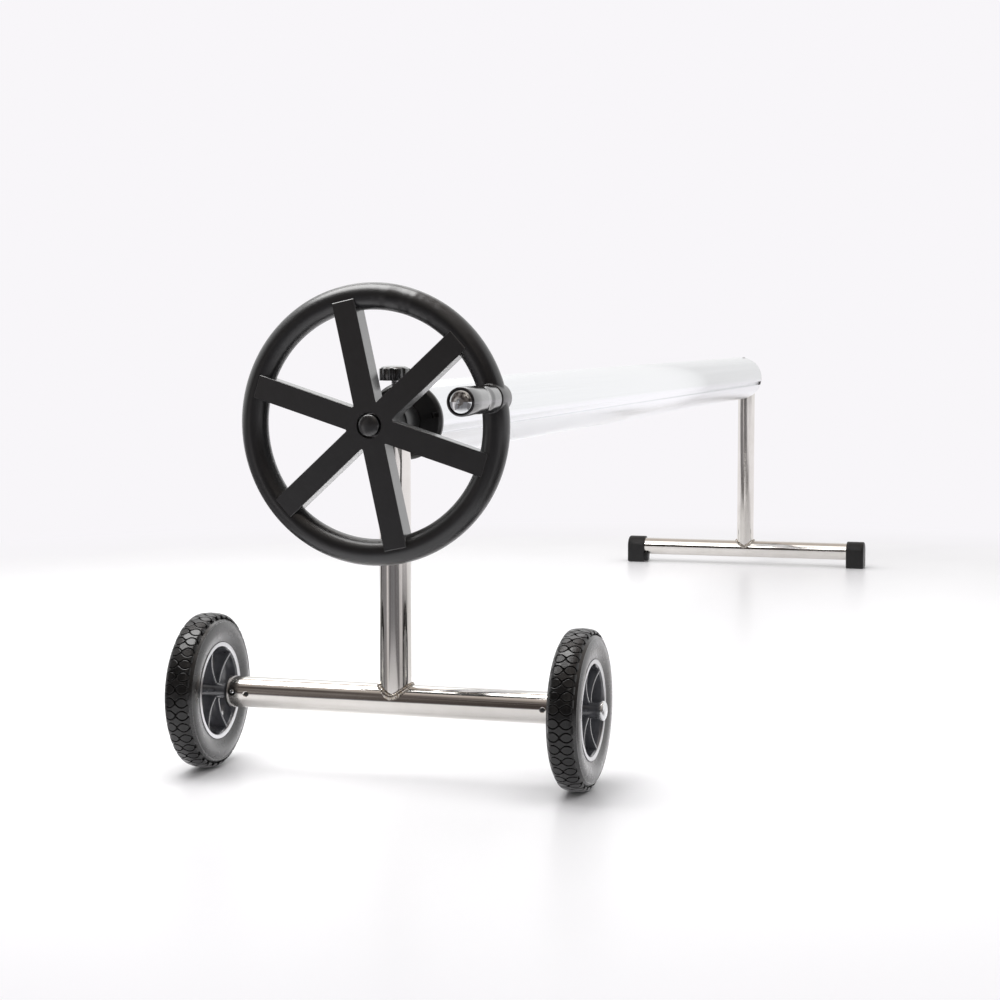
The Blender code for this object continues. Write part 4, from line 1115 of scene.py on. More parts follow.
@dataclass
class Brake:
    """The star knob on its threaded stud, and the pad that it presses on the shaft."""

    x: float = NEAR_X
    knob_base: float = 0.502
    knob_height: float = 0.0145
    knob_radius: float = 0.0195
    socket_roof: float = 0.0042
    dome: float = 0.004
    lobes: int = 8
    flute_radius: float = 0.0042
    flute_depth: float = 0.0022
    flute_angle: float = 8.5
    stud_radius: float = 0.004
    stud_tip: float = 0.4711
    stud_top: float = 0.0046  # under the knob's top
    thread_depth: float = 0.00065
    pitch: float = 0.00125
    turns: int = 31

    @property
    def axis(self) -> Axis:
        """The screw's axis, from the floor up."""
        return Axis(Vector((self.x, 0, 0)), UP, FORWARD)

    def build(self) -> None:
        """Makes and dresses the brake's pieces."""
        self.build_knob()
        self.build_stud()
        keep(ACETAL, "brake_pad")

    def build_knob(self) -> None:
        """The knob, fluted between eight lobes, with a domed top."""
        base, top = self.knob_base, self.knob_base + self.knob_height
        reach, way = self.knob_radius, self.stud_radius + PLAY
        roof = top - self.socket_roof
        profile = [(roof, 0), (roof, way), (base, way), (base, reach), (top, reach)]
        profile += dome(top, self.dome, reach - 0.0015, (0.25, 0.5, 0.8, 1.1, 1.35), 0.6)
        knob = Piece.turned("star_knob", self.axis, [*profile, (top + self.dome, 0)], 96)
        away = self.axis.moved(0, reach + self.flute_radius - self.flute_depth, self.flute_angle)
        flute = Piece.rod("flute", away, 0.49, 0.54, self.flute_radius, 40)
        knob.cut(flute.repeat(self.axis, self.lobes))
        knob.soften(0.0009, 3, 40)
        knob.dress(GLOSS_NYLON, Body.BRAKE_SCREW, "gloss_black", "brake_knob")

    def build_stud(self) -> None:
        """The stud and its thread, one turn of the profile wound up by a screw modifier."""
        axis, start, pitch, crest = self.axis, self.stud_tip, self.pitch, self.stud_radius
        end = self.knob_base + self.knob_height - self.stud_top
        root = crest - self.thread_depth
        points = [(0, root), (pitch * 0.40, crest), (pitch * 0.55, crest), (pitch, root)]
        line = [axis.at(along, out) - axis.origin for along, out in points]
        stud = Piece.drawn("brake_thread", line)
        rise = {"angle": math.tau, "screw_offset": pitch, "iterations": self.turns}
        steps = {"steps": 28, "render_steps": 28, "use_merge_vertices": False}
        stud.modify("SCREW", axis="Z", **rise, **steps)
        stud.mesh.transform(Matrix.Translation(axis.at(start + 0.0004)))
        core = Piece.rod("core", axis, start, end, root + 0.00005, 28)
        stud.gather([core.soften(0.0004, 2)])
        stud.tidy()
        stud.dress(ZINC, Body.BRAKE_SCREW, "zinc_plated_steel", "brake_stud")


# Transport wheels


@dataclass
class TyreSection:
    """The tyre's outer section: a crowned tread, a round shoulder and a soft side."""

    radius: float = 0.100
    crown: float = 0.055
    crown_reach: float = 0.0115
    shoulder: float = 0.0065
    shoulder_end: float = 78.0

    def at(self, across: float, depth: float) -> tuple[float, float]:
        """Gives a point on or under the tread.

        Args:
            across: Distance along the section from the middle of the tread.
            depth: Distance under the outer surface.

        Returns:
            (along the axle, out from it).
        """
        side = 1 if across >= 0 else -1
        run = abs(across)
        lean = min(run, self.crown_reach) / self.crown
        along = self.crown * math.sin(lean)
        out = self.radius - self.crown * (1 - math.cos(lean))
        if run > self.crown_reach:
            end = lean + (run - self.crown_reach) / self.shoulder
            along += self.shoulder * (math.sin(end) - math.sin(lean))
            out -= self.shoulder * (math.cos(lean) - math.cos(end))
            lean = end
        return side * (along - depth * math.sin(lean)), out - depth * math.cos(lean)

    @property
    def reach(self) -> float:
        """The whole distance from the middle to where the side starts."""
        bend = math.radians(self.shoulder_end) - self.crown_reach / self.crown
        return self.crown_reach + self.shoulder * bend


# The tyre's side from its shoulder to its seat on the rim, as (along, out) points.
TYRE_SIDE = (
    (0.0186, 0.0905), (0.0189, 0.0893), (0.0185, 0.0884), (0.0195, 0.0858), (0.0202, 0.0825),
    (0.0205, 0.0790), (0.0203, 0.0755), (0.0196, 0.0717), (0.0184, 0.0680), (0.0171, 0.0648),
    (0.0167, 0.0632), (0.0150, 0.0628), (0.0137, 0.0628), (0.0137, 0.0594),
)  # fmt: skip
# Half a tread block's long edge, as (across, round) points, and where the blocks bend.
BLOCK_BOW = (
    (0.0010, 0.0010), (0.0048, 0.0046), (0.0084, 0.0056), (0.0120, 0.0046), (0.0154, 0.0022),
)  # fmt: skip
BLOCK_BENDS = (0.0045, 0.0084, 0.0115, 0.0140, 0.0160, 0.0175)


@dataclass
class TransportWheel:
    """A solid tyre with lens-shaped tread blocks on a ribbed plastic rim."""

    word: str
    centre_y: float
    body: Body
    section: TyreSection = field(default_factory=TyreSection)
    pitch_count: int = 38
    tread_depth: float = 0.0028
    tread_root: float = 0.0006
    groove: float = 0.0013
    groove_reach: float = 0.0175
    rim_radius: float = 0.0625
    rim_half: float = 0.0174
    ring_width: float = 0.0055
    rib_count: int = 6
    rib_angle: float = 52.0
    rib_half: float = 0.0018
    hub_radius: float = 0.010
    hub_reach: tuple[float, float] = (0.2286, 0.2663)
    bore_radius: float = 0.0054
    cap_start: float = 0.2668
    cap_radius: float = 0.01225
    axle_end: float = 0.2705
    axle_radius: float = 0.005

    @property
    def axis(self) -> Axis:
        """The axle, towards the photo's right."""
        return Axis(Vector((NEAR_X, self.centre_y, 0.1)), -LEFT, FORWARD)

    @property
    def side(self) -> int:
        """1 for the wheel on the photo's left, and -1 for the other."""
        return 1 if self.centre_y > 0 else -1

    @property
    def axle_axis(self) -> Axis:
        """The axle from the stand's middle outwards."""
        return Axis(Vector((NEAR_X, 0, 0.1)), self.side * LEFT, FORWARD)

    def build(self) -> None:
        """Makes and dresses the tyre, the rim, the cap and the axle."""
        self.build_tyre()
        self.build_rim()
        self.build_cap()
        self.build_axle()

    def block(self, name: str, outline: Points, bends: Sequence[float]) -> Piece:
        """One tread block, rounded and bent onto the tyre.

        Args:
            name: Its name.
            outline: Its edges drawn flat, as (across, round) points.
            bends: Where it is cut across so that it bends.

        Returns:
            The block.
        """
        flat = Axis(Vector((0, 0, 0)), UP, FORWARD)
        block = Piece.plate(name, flat, outline, -self.tread_root, self.tread_depth)
        block.bevel(0.0008, 1, Pick.EDGES, lambda _middle, way: abs(way.z) > 0.9)
        block.bevel(0.0006, 2, Pick.FACES, lambda _middle, normal: normal.z > 0.9)
        for place in bends:
            block.edit(Pick.FACES)
            bpy.ops.mesh.bisect(plane_co=(place, 0, 0), plane_no=(1, 0, 0))
            bpy.ops.object.mode_set(mode="OBJECT")
        axis = self.axis
        for point in block.mesh.vertices:
            across, round_way, height = point.co
            along, out = self.section.at(across, self.tread_depth - height)
            point.co = axis.at(along, out, math.degrees(round_way / self.section.radius))
        block.tidy()
        return block

    def build_tyre(self) -> None:
        """The tyre's carcass with its tread blocks on it."""
        tread = self.build_tread()
        edge, depth, steps, axis = self.section.reach, self.tread_depth, 9, self.axis
        top = [self.section.at(edge * step / steps, depth) for step in range(-steps, steps + 1)]
        profile = [*top, *TYRE_SIDE, *((-along, out) for along, out in reversed(TYRE_SIDE))]
        tyre = Piece.turned(f"tyre_{self.word}", axis, profile, 152)
        tyre.dress(SIDEWALL, self.body, "tyre_rubber", f"wheel_tyre_{self.word}")
        floor = self.section.radius - 2.5 * depth

        def in_groove(middle: Vector, _normal: Vector) -> bool:
            """Whether a face is the floor of the tread's grooves."""
            along, out = axis.measure(middle)
            return abs(along) < self.groove_reach and out > floor

        # The groove floors are painted darker than the tread: painted shade, with some dust.
        tyre.paint(DUSTY_SHADED_GROOVE, in_groove)
        tread.dress(TREAD, self.body, "tyre_rubber").smooth(20.0)

    def build_tread(self) -> Piece:
        """Two columns of lens-shaped blocks, with a wavy band across between the pairs."""
        crest = math.pi * self.section.radius / self.pitch_count - self.groove
        lens = [*((x, -y) for x, y in BLOCK_BOW), *reversed(BLOCK_BOW)]
        bends = BLOCK_BENDS[:4]
        right = self.block("lens", lens, bends)
        left = self.block("lens_left", [(-x, y) for x, y in lens], [-x for x in bends])
        hollow = [(0.0, 0.0008), *BLOCK_BOW[1:4], (0.0158, 0.0020), (0.0186, 0.0014)]
        wave = [(x, crest - y) for x, y in hollow]
        upper = [(-x, y) for x, y in wave[:0:-1]] + wave
        outline = upper + [(x, -y) for x, y in reversed(upper)]
        band = self.block("band", outline, [*(-x for x in BLOCK_BENDS), 0.0, *BLOCK_BENDS])
        band.mesh.transform(self.axis.turned(180 / self.pitch_count))
        tread = right.gather([left, band])
        tread.rename(f"tread_{self.word}")
        return tread.repeat(self.axis, self.pitch_count)

    def rib_outline(self) -> list[tuple[float, float]]:
        """A rib's edges, dished between hub and rim, as (out, along) points."""
        inner = self.hub_radius - 0.001
        span = self.rim_radius - 0.0070 - inner
        shares = [step / 10 for step in range(11)]
        front = [(inner + span * s, 0.0105 + 0.0026 * (1 - s) ** 4 + 0.0058 * s**3) for s in shares]
        return front + [(out, -along) for out, along in reversed(front)]

    def build_rim(self) -> None:
        """The rim with its barrel, ribs, hub and the bright ring on both faces."""
        axis, half, outer = self.axis, self.rim_half, self.rim_radius
        ring, well, seat = outer - self.ring_width, outer - 0.0035, half - 0.0034
        right = [(0.0, 0.0545), (seat, 0.0553), (half - 0.0012, ring), (half, ring + 0.0006)]
        right += [(half, outer), (seat, outer), (seat, well)]
        profile = right + [(-along, out) for along, out in reversed(right[1:])]
        rim = Piece.turned(f"rim_{self.word}", axis, profile, 96)
        rim.soften(0.0005, 2, 30)
        back, front = sorted(self.centre_y - self.side * reach for reach in self.hub_reach)
        bore, hub = self.bore_radius, self.hub_radius
        lip = (front - 0.004, hub + 0.0008)
        section = [(back, bore), (back, hub), (lip[0], hub), lip, (front, lip[1]), (front, bore)]
        core = Piece.turned("hub", axis, section, 48).soften(0.0004, 2)
        edge = Axis(axis.origin, axis.across, axis.side)
        outline = [(out, -along) for out, along in self.rib_outline()]
        rib = Piece.plate("rib", edge, outline, -self.rib_half, self.rib_half)
        rib.soften(0.0004, 2, 50)
        rib.repeat(axis, self.rib_count, self.rib_angle)
        rim.gather([core, rib])
        rim.dress(WHEEL_GREY, self.body, "wheel_grey", f"wheel_rim_{self.word}")

        def on_ring(middle: Vector, _normal: Vector) -> bool:
            """Whether a face is on the bright ring."""
            along, out = axis.measure(middle)
            return abs(along) > half - 0.0016 and ring - 0.0006 < out

        rim.paint(WHEEL_RING, on_ring)

    def build_cap(self) -> None:
        """The low domed push cap."""
        start, radius, inner = self.cap_start, self.cap_radius, self.axle_radius + PLAY
        profile = [(start, inner), (start, radius - 0.0004)]
        profile += [(start + 0.0004, radius), (start + 0.0016, radius)]
        angles = [math.radians(13 * step) for step in range(1, 7)]
        profile += dome(start + 0.0018, 0.0044, radius, angles, 0.62)
        profile += [(start + 0.0062, 0), (start + 0.0052, 0), (start + 0.0036, radius * 0.72)]
        profile += [(start + 0.0012, radius - 0.001), (start + 0.0012, inner)]
        cap = Piece.turned(f"push_cap_{self.word}", self.axle_axis, profile, 48)
        cap.dress(BRIGHT_ZINC, Body.NEAR_STAND, "bright_chrome", f"wheel_cap_{self.word}")

    def build_axle(self) -> None:
        """The stub axle, whose end the cap covers."""
        inside = min(abs(corner[1]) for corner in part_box(f"stub_axle_{self.word}"))
        name = f"axle_pin_{self.word}"
        axle = Piece.rod(name, self.axle_axis, inside, self.axle_end, self.axle_radius, 40)
        axle.soften(0.0008, 2)
        axle.dress(ZINC, Body.NEAR_STAND, "zinc_plated_steel", f"stub_axle_{self.word}")


# Reel


@dataclass
class Reel:
    """The grooved reel tube with its two notched end plugs, shafts, pins and screws."""

    near_end: float = -1.12335
    far_end: float = 1.24865
    radius: float = 0.049
    wall: float = 0.0025
    groove_half: float = 0.004
    groove_depth: float = 0.003
    groove_angle: float = -13.0
    pad: float = 0.003
    flange: float = 0.010
    chamfer: float = 0.004
    plug_depth: float = 0.055
    plug_radius: float = 0.0401
    plug_bore: float = 0.0128
    pin_way: float = 0.0028
    hub_radius: float = 0.020
    hub_length: float = 0.0112
    notches: int = 6
    notch_angle: float = 11.0
    notch_half: float = 0.0035
    notch_length: float = 0.009
    screw_inset: float = 0.020
    screw_hole: float = 0.0024

    def build(self) -> None:
        """Makes and dresses the reel's pieces."""
        near = Axis(Vector((self.near_end, 0, AXIS_HEIGHT)), -FORWARD, -LEFT)
        far = Axis(Vector((self.far_end, 0, AXIS_HEIGHT)), FORWARD, LEFT)
        self.build_tube()
        self.build_plug("near", near, self.radius + 0.0005, self.notch_angle)
        self.build_plug("far", far, self.radius - 0.0006, 180 - self.notch_angle)
        self.build_screws()
        keep(SHAFT, "near_shaft", "far_shaft")
        keep(ZINC, "near_plug_pin", "far_plug_pin", "far_collar", "far_collar_screw")

    def screw_way(self, x: float, turn: float) -> Axis:
        """The axis of a screw through the tube, a quarter turn away from the grooves."""
        return REEL_AXIS.outwards(-x, self.groove_angle + turn)

    def build_tube(self) -> None:
        """The extruded tube: two strap grooves outside, thicker walls behind them inside."""
        start, end, half = -self.far_end, -self.near_end, self.groove_half
        tube = Piece.rod("reel_extrusion", REEL_AXIS, start, end, self.radius, 128)
        bore = self.radius - self.wall
        inside = Piece.rod("inside", REEL_AXIS, start - 0.1, end + 0.1, bore, 128)
        floor = self.radius - self.groove_depth
        for turn in (0, 180):
            side = REEL_AXIS.outwards(0, self.groove_angle + turn).ahead
            way = Axis(REEL_AXIS.origin, REEL_AXIS.ahead, side)
            low = (floor - self.wall, -half - self.pad, start - 0.2)
            inside.cut(Piece.block("pad", way, low, (0.06, half + self.pad, end + 0.2)))
            low = (floor, -half, start - 0.1)
            tube.cut(Piece.block("groove", way, low, (0.06, half, end + 0.1)))
        tube.cut(inside)
        for place in (self.near_end + self.screw_inset, self.far_end - self.screw_inset):
            tube.bore(self.screw_way(place, 90), -0.1, 0.1, self.screw_hole)
        tube.soften(0.0005, 2, 50)
        tube.dress(ALUMINIUM, Body.REEL, "satin_aluminium", "reel_tube")

    def build_plug(self, word: str, axis: Axis, rim: float, notch_angle: float) -> None:
        """An end plug: its flange has a broad chamfer and six notches.

        Args:
            word: Near or far.
            axis: The reel axis from the tube's end outwards.
            rim: The flange's radius.
            notch_angle: The angle of its first notch.
        """
        top = PLAY + self.flange
        end = top + self.hub_length
        deep, body, bore, hub = -self.plug_depth, self.plug_radius, self.plug_bore, self.hub_radius
        profile = [(deep, bore), (deep, body - 0.0006), (deep + 0.002, body), (PLAY, body)]
        profile += [(PLAY, rim), (top - self.chamfer, rim), (top, rim - self.chamfer)]
        profile += [(top, hub), (end, hub), (end, bore)]
        plug = Piece.turned(f"{word}_plug_moulding", axis, profile, 96)
        plug.soften(0.0007, 2, 30)
        out, half = rim - self.chamfer * 0.75, self.notch_half
        low = (out - self.notch_length, -half, top - 0.005)
        notch = Piece.block("notch", axis, low, (out, half, top + 0.005))
        notch.soften(0.0006, 2)
        plug.cut(notch.repeat(axis, self.notches, notch_angle))
        pin = Axis(axis.at(top + self.hub_length / 2), UP, FORWARD)
        plug.bore(pin, -0.05, 0.05, self.pin_way)
        plug.dress(NYLON, Body.REEL, "black_nylon", f"{word}_reel_plug")

    def build_screws(self) -> None:
        """The four screws that hold the plugs in the tube."""
        flat = PanScrew(head=0.0080, height=0.0014)
        near, far = self.near_end + self.screw_inset, self.far_end - self.screw_inset
        for end, place in (("near", near), ("far", far)):
            for label, turn in (("upper", 90), ("lower", -90)):
                way = self.screw_way(place, turn).moved(self.radius + PLAY)
                screw = flat.build(f"{end}_tube_pan_screw_{label}", way)
                node = f"{end}_tube_screw_{label}"
                screw.dress(BRIGHT_ZINC, Body.REEL, "zinc_plated_steel", node)


# Hand wheel


@dataclass
class HandWheel:
    """The six-spoke hand wheel with its skinned rim, hub and crank, placed along the reel axis."""

    plane: float = 1.24435
    rim_centre: float = 0.1555
    rim_radius: float = 0.0165
    spoke_front: float = 1.26185
    spoke_back: float = 1.22835
    spoke_width: float = 0.029
    spoke_back_width: float = 0.0252
    spoke_reach: float = 0.153
    spoke_angle: float = 42.4
    crotch_round: float = 0.003
    boss_end: float = 1.19565
    boss_radius: float = 0.024
    shaft_end: float = 1.24185
    shaft_way: float = 0.0128
    bolt_way: float = 0.0053
    pin_place: float = 1.218
    pin_way: float = 0.0033
    recess_radius: float = 0.016
    recess_floor: float = 1.24785
    cap_radius: float = 0.0133
    cap_bore: float = 0.0110
    cap_rise: float = 0.0035
    handle_angle: float = 12.4
    handle_boss: tuple[float, float] = (1.22635, 1.26385)
    handle_boss_radius: float = 0.018
    grip_start: float = 1.26615
    grip_length: float = 0.107
    grip_radius: float = 0.017
    grip_bore: float = 0.0054
    waist_radius: float = 0.0153
    waist_place: float = 0.037
    waist_half: float = 0.013
    bolt_tail: float = 1.2276
    bolt_radius: float = 0.005
    head_radius: float = 0.0143
    head_rise: float = 0.0022
    head_seat: float = 0.0035
    socket_radius: float = 0.0046

    @property
    def handle_axis(self) -> Axis:
        """The crank's axis through the rim, towards the viewer."""
        return REEL_AXIS.moved(0, self.rim_centre, self.handle_angle)

    @property
    def grip_end(self) -> float:
        """Where the grip ends."""
        return self.grip_start + self.grip_length

    def build(self) -> None:
        """Makes and dresses the hand wheel's pieces."""
        self.build_rim()
        self.build_spokes()
        self.build_hub_cap()
        self.build_grip()
        self.build_bolt()
        keep(FOOT_RUBBER, "grip_washer")
        keep(ZINC, "grip_nut", "hand_wheel_pin", "hub_washer", "hub_bolt")

    def build_rim(self) -> None:
        """The round rim with the crank's boss bulging through it."""
        plane = REEL_AXIS.moved(self.plane)
        rim = Piece.ring("hand_wheel_rim", plane, self.rim_centre, self.rim_radius, (180, 32))
        way = self.handle_axis
        boss = Piece.rod("boss", way, *self.handle_boss, self.handle_boss_radius, 64)
        rim.unite(boss.soften(0.0015, 3))
        rim.bore(way, 1.2, 1.3, self.bolt_way, 32)
        rim.dress(SKIN, Body.REEL, "hand_wheel_black")

    def build_spokes(self) -> None:
        """Six flat-fronted spokes as three bars across, a hub boss behind and a recess in front."""
        front, back, axis = self.spoke_width / 2, self.spoke_back_width / 2, REEL_AXIS
        outline = [(self.spoke_back, -back), (self.spoke_front, -front)]
        outline += [(self.spoke_front, front), (self.spoke_back, back)]
        reach = self.spoke_reach
        ways = [axis.outwards(0, self.spoke_angle + 60 * turn) for turn in range(3)]
        bars = [Piece.plate("bar", way, outline, -reach, reach) for way in ways]
        spokes = bars[0].unite(*bars[1:])
        spokes.rename("hand_wheel_spokes")

        def in_crotch(middle: Vector, way: Vector) -> bool:
            """Whether an edge is one of the six inner corners between spokes."""
            return abs(way.x) > 0.9 and axis.measure(middle)[1] < 0.05

        spokes.bevel(self.crotch_round, 4, Pick.EDGES, in_crotch)
        spokes.soften(0.0012, 1, 50)
        behind = self.spoke_back + 0.006
        boss = Piece.rod("boss", axis, self.boss_end, behind, self.boss_radius, 72)
        spokes.unite(boss.soften(0.001, 2))
        spokes.bore(axis, self.recess_floor, 1.3, self.recess_radius, 72)
        spokes.bore(axis, 1.1, self.shaft_end, self.shaft_way, 48)
        spokes.bore(axis, 1.1, 1.3, self.bolt_way, 32)
        spokes.bore(axis.outwards(self.pin_place, 90), -0.05, 0.05, self.pin_way)
        spokes.dress(WHEEL_NYLON, Body.REEL, "hand_wheel_black", "hand_wheel")

    def build_hub_cap(self) -> None:
        """The domed cap in the hub's recess."""
        seat = self.recess_floor + 0.0026
        brim = seat + 0.012
        outer, inner, rise, flat = self.cap_radius, self.cap_bore, self.cap_rise, 0.0008
        profile = [(seat, inner), (seat, outer), (brim, outer)]
        curve = dome(brim, rise, outer - flat, (0.2, 0.45, 0.7, 1.0, 1.3))
        profile += [(along, flat + out) for along, out in curve]
        profile += [(brim + rise, 0), (brim + 0.0012, 0), (brim - 0.001, inner)]
        cap = Piece.turned("hub_dome", REEL_AXIS, profile, 64)
        cap.soften(0.0005, 2, 50)
        cap.dress(WHEEL_NYLON, Body.REEL, "gloss_black", "hub_cap")

    def build_grip(self) -> None:
        """The turning grip with its waist and its open front round the bolt head."""
        start, end, full, steps = self.grip_start, self.grip_end, self.grip_radius, 12
        profile = [(start, self.grip_bore), (start, full - 0.0008), (start + 0.0008, full)]
        for part in (2 * step / steps - 1 for step in range(steps + 1)):
            depth = (full - self.waist_radius) * math.cos(part * math.pi / 2) ** 2
            profile.append((start + self.waist_place + part * self.waist_half, full - depth))
        profile += [(start + 0.075, full), (end - 0.0016, full), (end - 0.0005, full - 0.0005)]
        profile += [(end, full - 0.0014), (end, self.head_radius + 0.0004)]
        profile += [(end - 0.004, self.head_radius + PLAY), (end - 0.004, self.grip_bore)]
        grip = Piece.turned("grip_sleeve", self.handle_axis, profile, 72)
        grip.dress(GLOSS_NYLON, Body.GRIP, "gloss_black", "grip")

    def build_bolt(self) -> None:
        """The crank's bolt, whose polished domed head has a hex socket."""
        seat, head = self.grip_end - self.head_seat, self.grip_end + self.head_rise
        tail, shank, radius = self.bolt_tail, self.bolt_radius, self.head_radius
        brim = seat + 0.0012
        profile = [(tail, 0), (tail, shank - 0.0006), (tail + 0.0006, shank), (seat, shank)]
        profile += [(seat, radius), (brim, radius)]
        profile += dome(brim, head - brim, radius, (0.15, 0.3, 0.5, 0.7, 0.9, 1.1, 1.3))
        bolt = Piece.turned("crank_bolt", self.handle_axis, [*profile, (head, 0)], 64)
        bolt.bore(self.handle_axis, head - 0.005, head + 0.01, self.socket_radius, 6)
        bolt.dress(CHROME, Body.REEL, "bright_chrome", "grip_bolt")


# Studio

# Tones by heading, as 0 to 1 from the camera's side round by the photo's right: what the stainless
# tubes mirror of the floor, the backdrop and the wall ahead of the hand wheel. On the floor these
# are painted reflections and painted shade, seen by glossy rays only. The other three are by a
# noise: painted streaks in the floor's reflection, things in the room and equipment before the
# wall.
PAINTED_FLOOR_REFLECTION_TONES = (
    (0.000, "#828284"), (0.120, "#828284"), (0.140, "#e6e6e6"), (0.175, "#e6e6e6"),
    (0.200, "#6f6e6f"), (0.300, "#6f6e6f"), (0.325, "#ffffff"), (0.560, "#ffffff"),
    (0.580, "#4c4a4b"), (0.730, "#4c4a4b"), (0.750, "#969698"), (0.860, "#969698"),
    (0.885, "#ffffff"), (0.900, "#ffffff"), (0.925, "#828284"), (1.000, "#828284"),
)  # fmt: skip
PAINTED_STREAK_TONES = ((0.34, "#c0bab6"), (0.62, "#ffffff"))
BACKDROP = (
    (0.00, "#000000"), (0.20, "#000000"), (0.27, "#ffffff"),
    (0.78, "#ffffff"), (0.84, "#000000"), (1.00, "#000000"),
)  # fmt: skip
ROOM_TONES = ((0.38, "#2a2523"), (0.48, "#504946"), (0.60, "#6e6764"), (0.72, "#b9b3ae"))
WALL_AHEAD = ((0.07, "#ffffff"), (0.12, "#000000"), (0.985, "#000000"), (1.0, "#ffffff"))
WALL_TONES = ((0.40, "#3a3431"), (0.48, "#a0978f"), (0.62, "#d6cdc4"))


@dataclass
class Studio:
    """The pale floor, the softboxes, the white surround and the camera where the photo's was."""

    camera_place: tuple[float, float, float] = (-3.61425, -0.8743, 0.5657)
    yaw: float = 16.78
    pitch: float = -4.70
    roll: float = -0.04
    lens: float = 74.9
    sensor: float = 36.0
    surround: str = "#f8f6f9"
    floor_radius: float = 14.0
    floor_tone: str = "#e4e3e4"
    floor_glow: float = 0.24
    # These three make the floor glow for glossy rays only: painted light in reflections.
    metal_painted_glow: float = 0.40
    near_painted_glow: float = 0.26
    far_floor_painted_glow: float = 1.15
    ceiling: str = "#d8cec7"

    def build(self) -> None:
        """Makes the stage."""
        self.build_camera()
        self.build_floor()
        self.add_lamp("overhead_softbox", (-1.25, 0.55, 1.75), (0.94, 1.30), 4.6, True)
        self.add_lamp("overhead_gleam", (-1.25, 0.55, 1.74), (0.94, 1.30), 2.8, True, False)
        self.add_lamp("far_softbox", (-0.19, 0.55, 1.75), (1.20, 1.30), 3.4, False)
        self.add_lamp("strip_softbox", (0.28, 0.55, 1.76), (1.25, 1.30), 1.2, True)
        self.add_lamp("right_softbox", (-1.20, -1.35, 1.75), (1.40, 0.90), 1.8, False)
        self.add_lamp("fill_softbox", (0.9, -0.2, 3.0), (3.0, 3.0), 0.4, False)
        self.build_world()
        bpy.context.scene.view_settings.view_transform = "Standard"

    def build_camera(self) -> None:
        """A camera turned by the fitted angles."""
        data = bpy.data.cameras.new("photo_camera")
        data.lens = self.lens
        data.sensor_width = self.sensor
        data.clip_end = 100
        camera = bpy.data.objects.new("photo_camera", data)
        bpy.context.scene.collection.objects.link(camera)
        yaw, pitch, roll = (math.radians(angle) for angle in (self.yaw, self.pitch, self.roll))
        ahead = math.cos(pitch)
        look = Vector((ahead * math.cos(yaw), ahead * math.sin(yaw), math.sin(pitch)))
        turn = look.to_track_quat("-Z", "Y").to_matrix().to_4x4() @ Matrix.Rotation(roll, 4, "Z")
        camera.matrix_world = Matrix.Translation(self.camera_place) @ turn
        bpy.context.scene.camera = camera

    def heading(self, tree: Tree, vector: Source) -> bpy.types.Node:
        """The heading of a vector, from -X round by -Y, +X and +Y.

        Args:
            tree: The node tree.
            vector: The vector.

        Returns:
            The node that gives the heading as 0 to 1.
        """
        apart = add_node(tree, "SeparateXYZ", {"Vector": vector}).outputs
        turn = add_node(tree, "Math", {0: apart["Y"], 1: apart["X"]}, operation="ARCTAN2")
        whole = {"Value": turn, "From Min": -math.pi, "From Max": math.pi}
        return add_node(tree, "MapRange", whole)

    def product(
        self, tree: Tree, first: Source | float, spans: Sequence[tuple]
    ) -> Source | float:
        """Multiplies a value by shares that rise or fall smoothly with other values.

        Args:
            tree: The node tree.
            first: The value to start from.
            spans: For each share, its value, the two ends of that, and the share at each end.

        Returns:
            The product.
        """
        names = ("Value", "From Min", "From Max", "To Min", "To Max")
        for span in spans:
            share = add_node(
                tree, "MapRange", dict(zip(names, span)), interpolation_type="SMOOTHSTEP"
            )
            first = add_node(tree, "Math", {0: first, 1: share}, operation="MULTIPLY")
        return first

    def painted_floor_in_metal(self, tree: Tree, place: Source) -> bpy.types.Node:
        """The floor's tone as metal shows it: white near the stand, then painted shade where it
        would be unlit, seen by glossy rays only.

        Args:
            tree: The floor's node tree.
            place: The place on the floor.

        Returns:
            The tone, white for all but reflections.
        """
        glossy = add_node(tree, "LightPath").outputs["Is Glossy Ray"]
        stand = {0: place, 1: (NEAR_X, 0, 0)}
        away = add_node(tree, "VectorMath", stand, operation="SUBTRACT")
        run = add_node(tree, "VectorMath", {0: away}, operation="LENGTH")
        apart = add_node(tree, "SeparateXYZ", {"Vector": place}).outputs
        x, y = apart["X"], apart["Y"]
        turn = self.heading(tree, away)
        # Painted reflection and painted shade by heading from the stand, for glossy rays only.
        around = add_node(tree, "ValToRGB", {"Fac": turn}, PAINTED_FLOOR_REFLECTION_TONES)
        sideways = add_node(tree, "Math", {0: y}, operation="ABSOLUTE")
        span = {"From Min": 0.35, "From Max": 0.55, "To Min": 1.0, "To Max": 2.6}
        beside = add_node(tree, "MapRange", {"Value": sideways, **span})
        scaled = add_node(tree, "Math", {0: run, 1: beside}, operation="MULTIPLY")
        span = {"From Min": -2.1, "From Max": -1.5, "To Min": 0.65, "To Max": 1.0}
        faint = add_node(tree, "MapRange", {"Value": y, **span})
        start = add_node(tree, "Math", {0: glossy, 1: faint}, operation="MULTIPLY")
        spans = ((scaled, 0.40, 1.5), (x, -0.6, 0.2, 1.0, 0.0), (y, -3.0, -2.5))
        strength = self.product(tree, start, spans)
        # Painted streaks, seen in reflections only.
        noise = {"W": turn, "Scale": 55.0, "Detail": 2.0}
        streak = add_node(tree, "TexNoise", noise, noise_dimensions="1D")
        shade = add_node(tree, "ValToRGB", {"Fac": streak}, PAINTED_STREAK_TONES)
        layers = {0: 1.0, 6: around, 7: shade}
        streaked = add_node(tree, "Mix", layers, data_type="RGBA", blend_type="MULTIPLY")
        return add_node(tree, "Mix", {0: strength, 6: "#ffffff", 7: streaked}, data_type="RGBA")

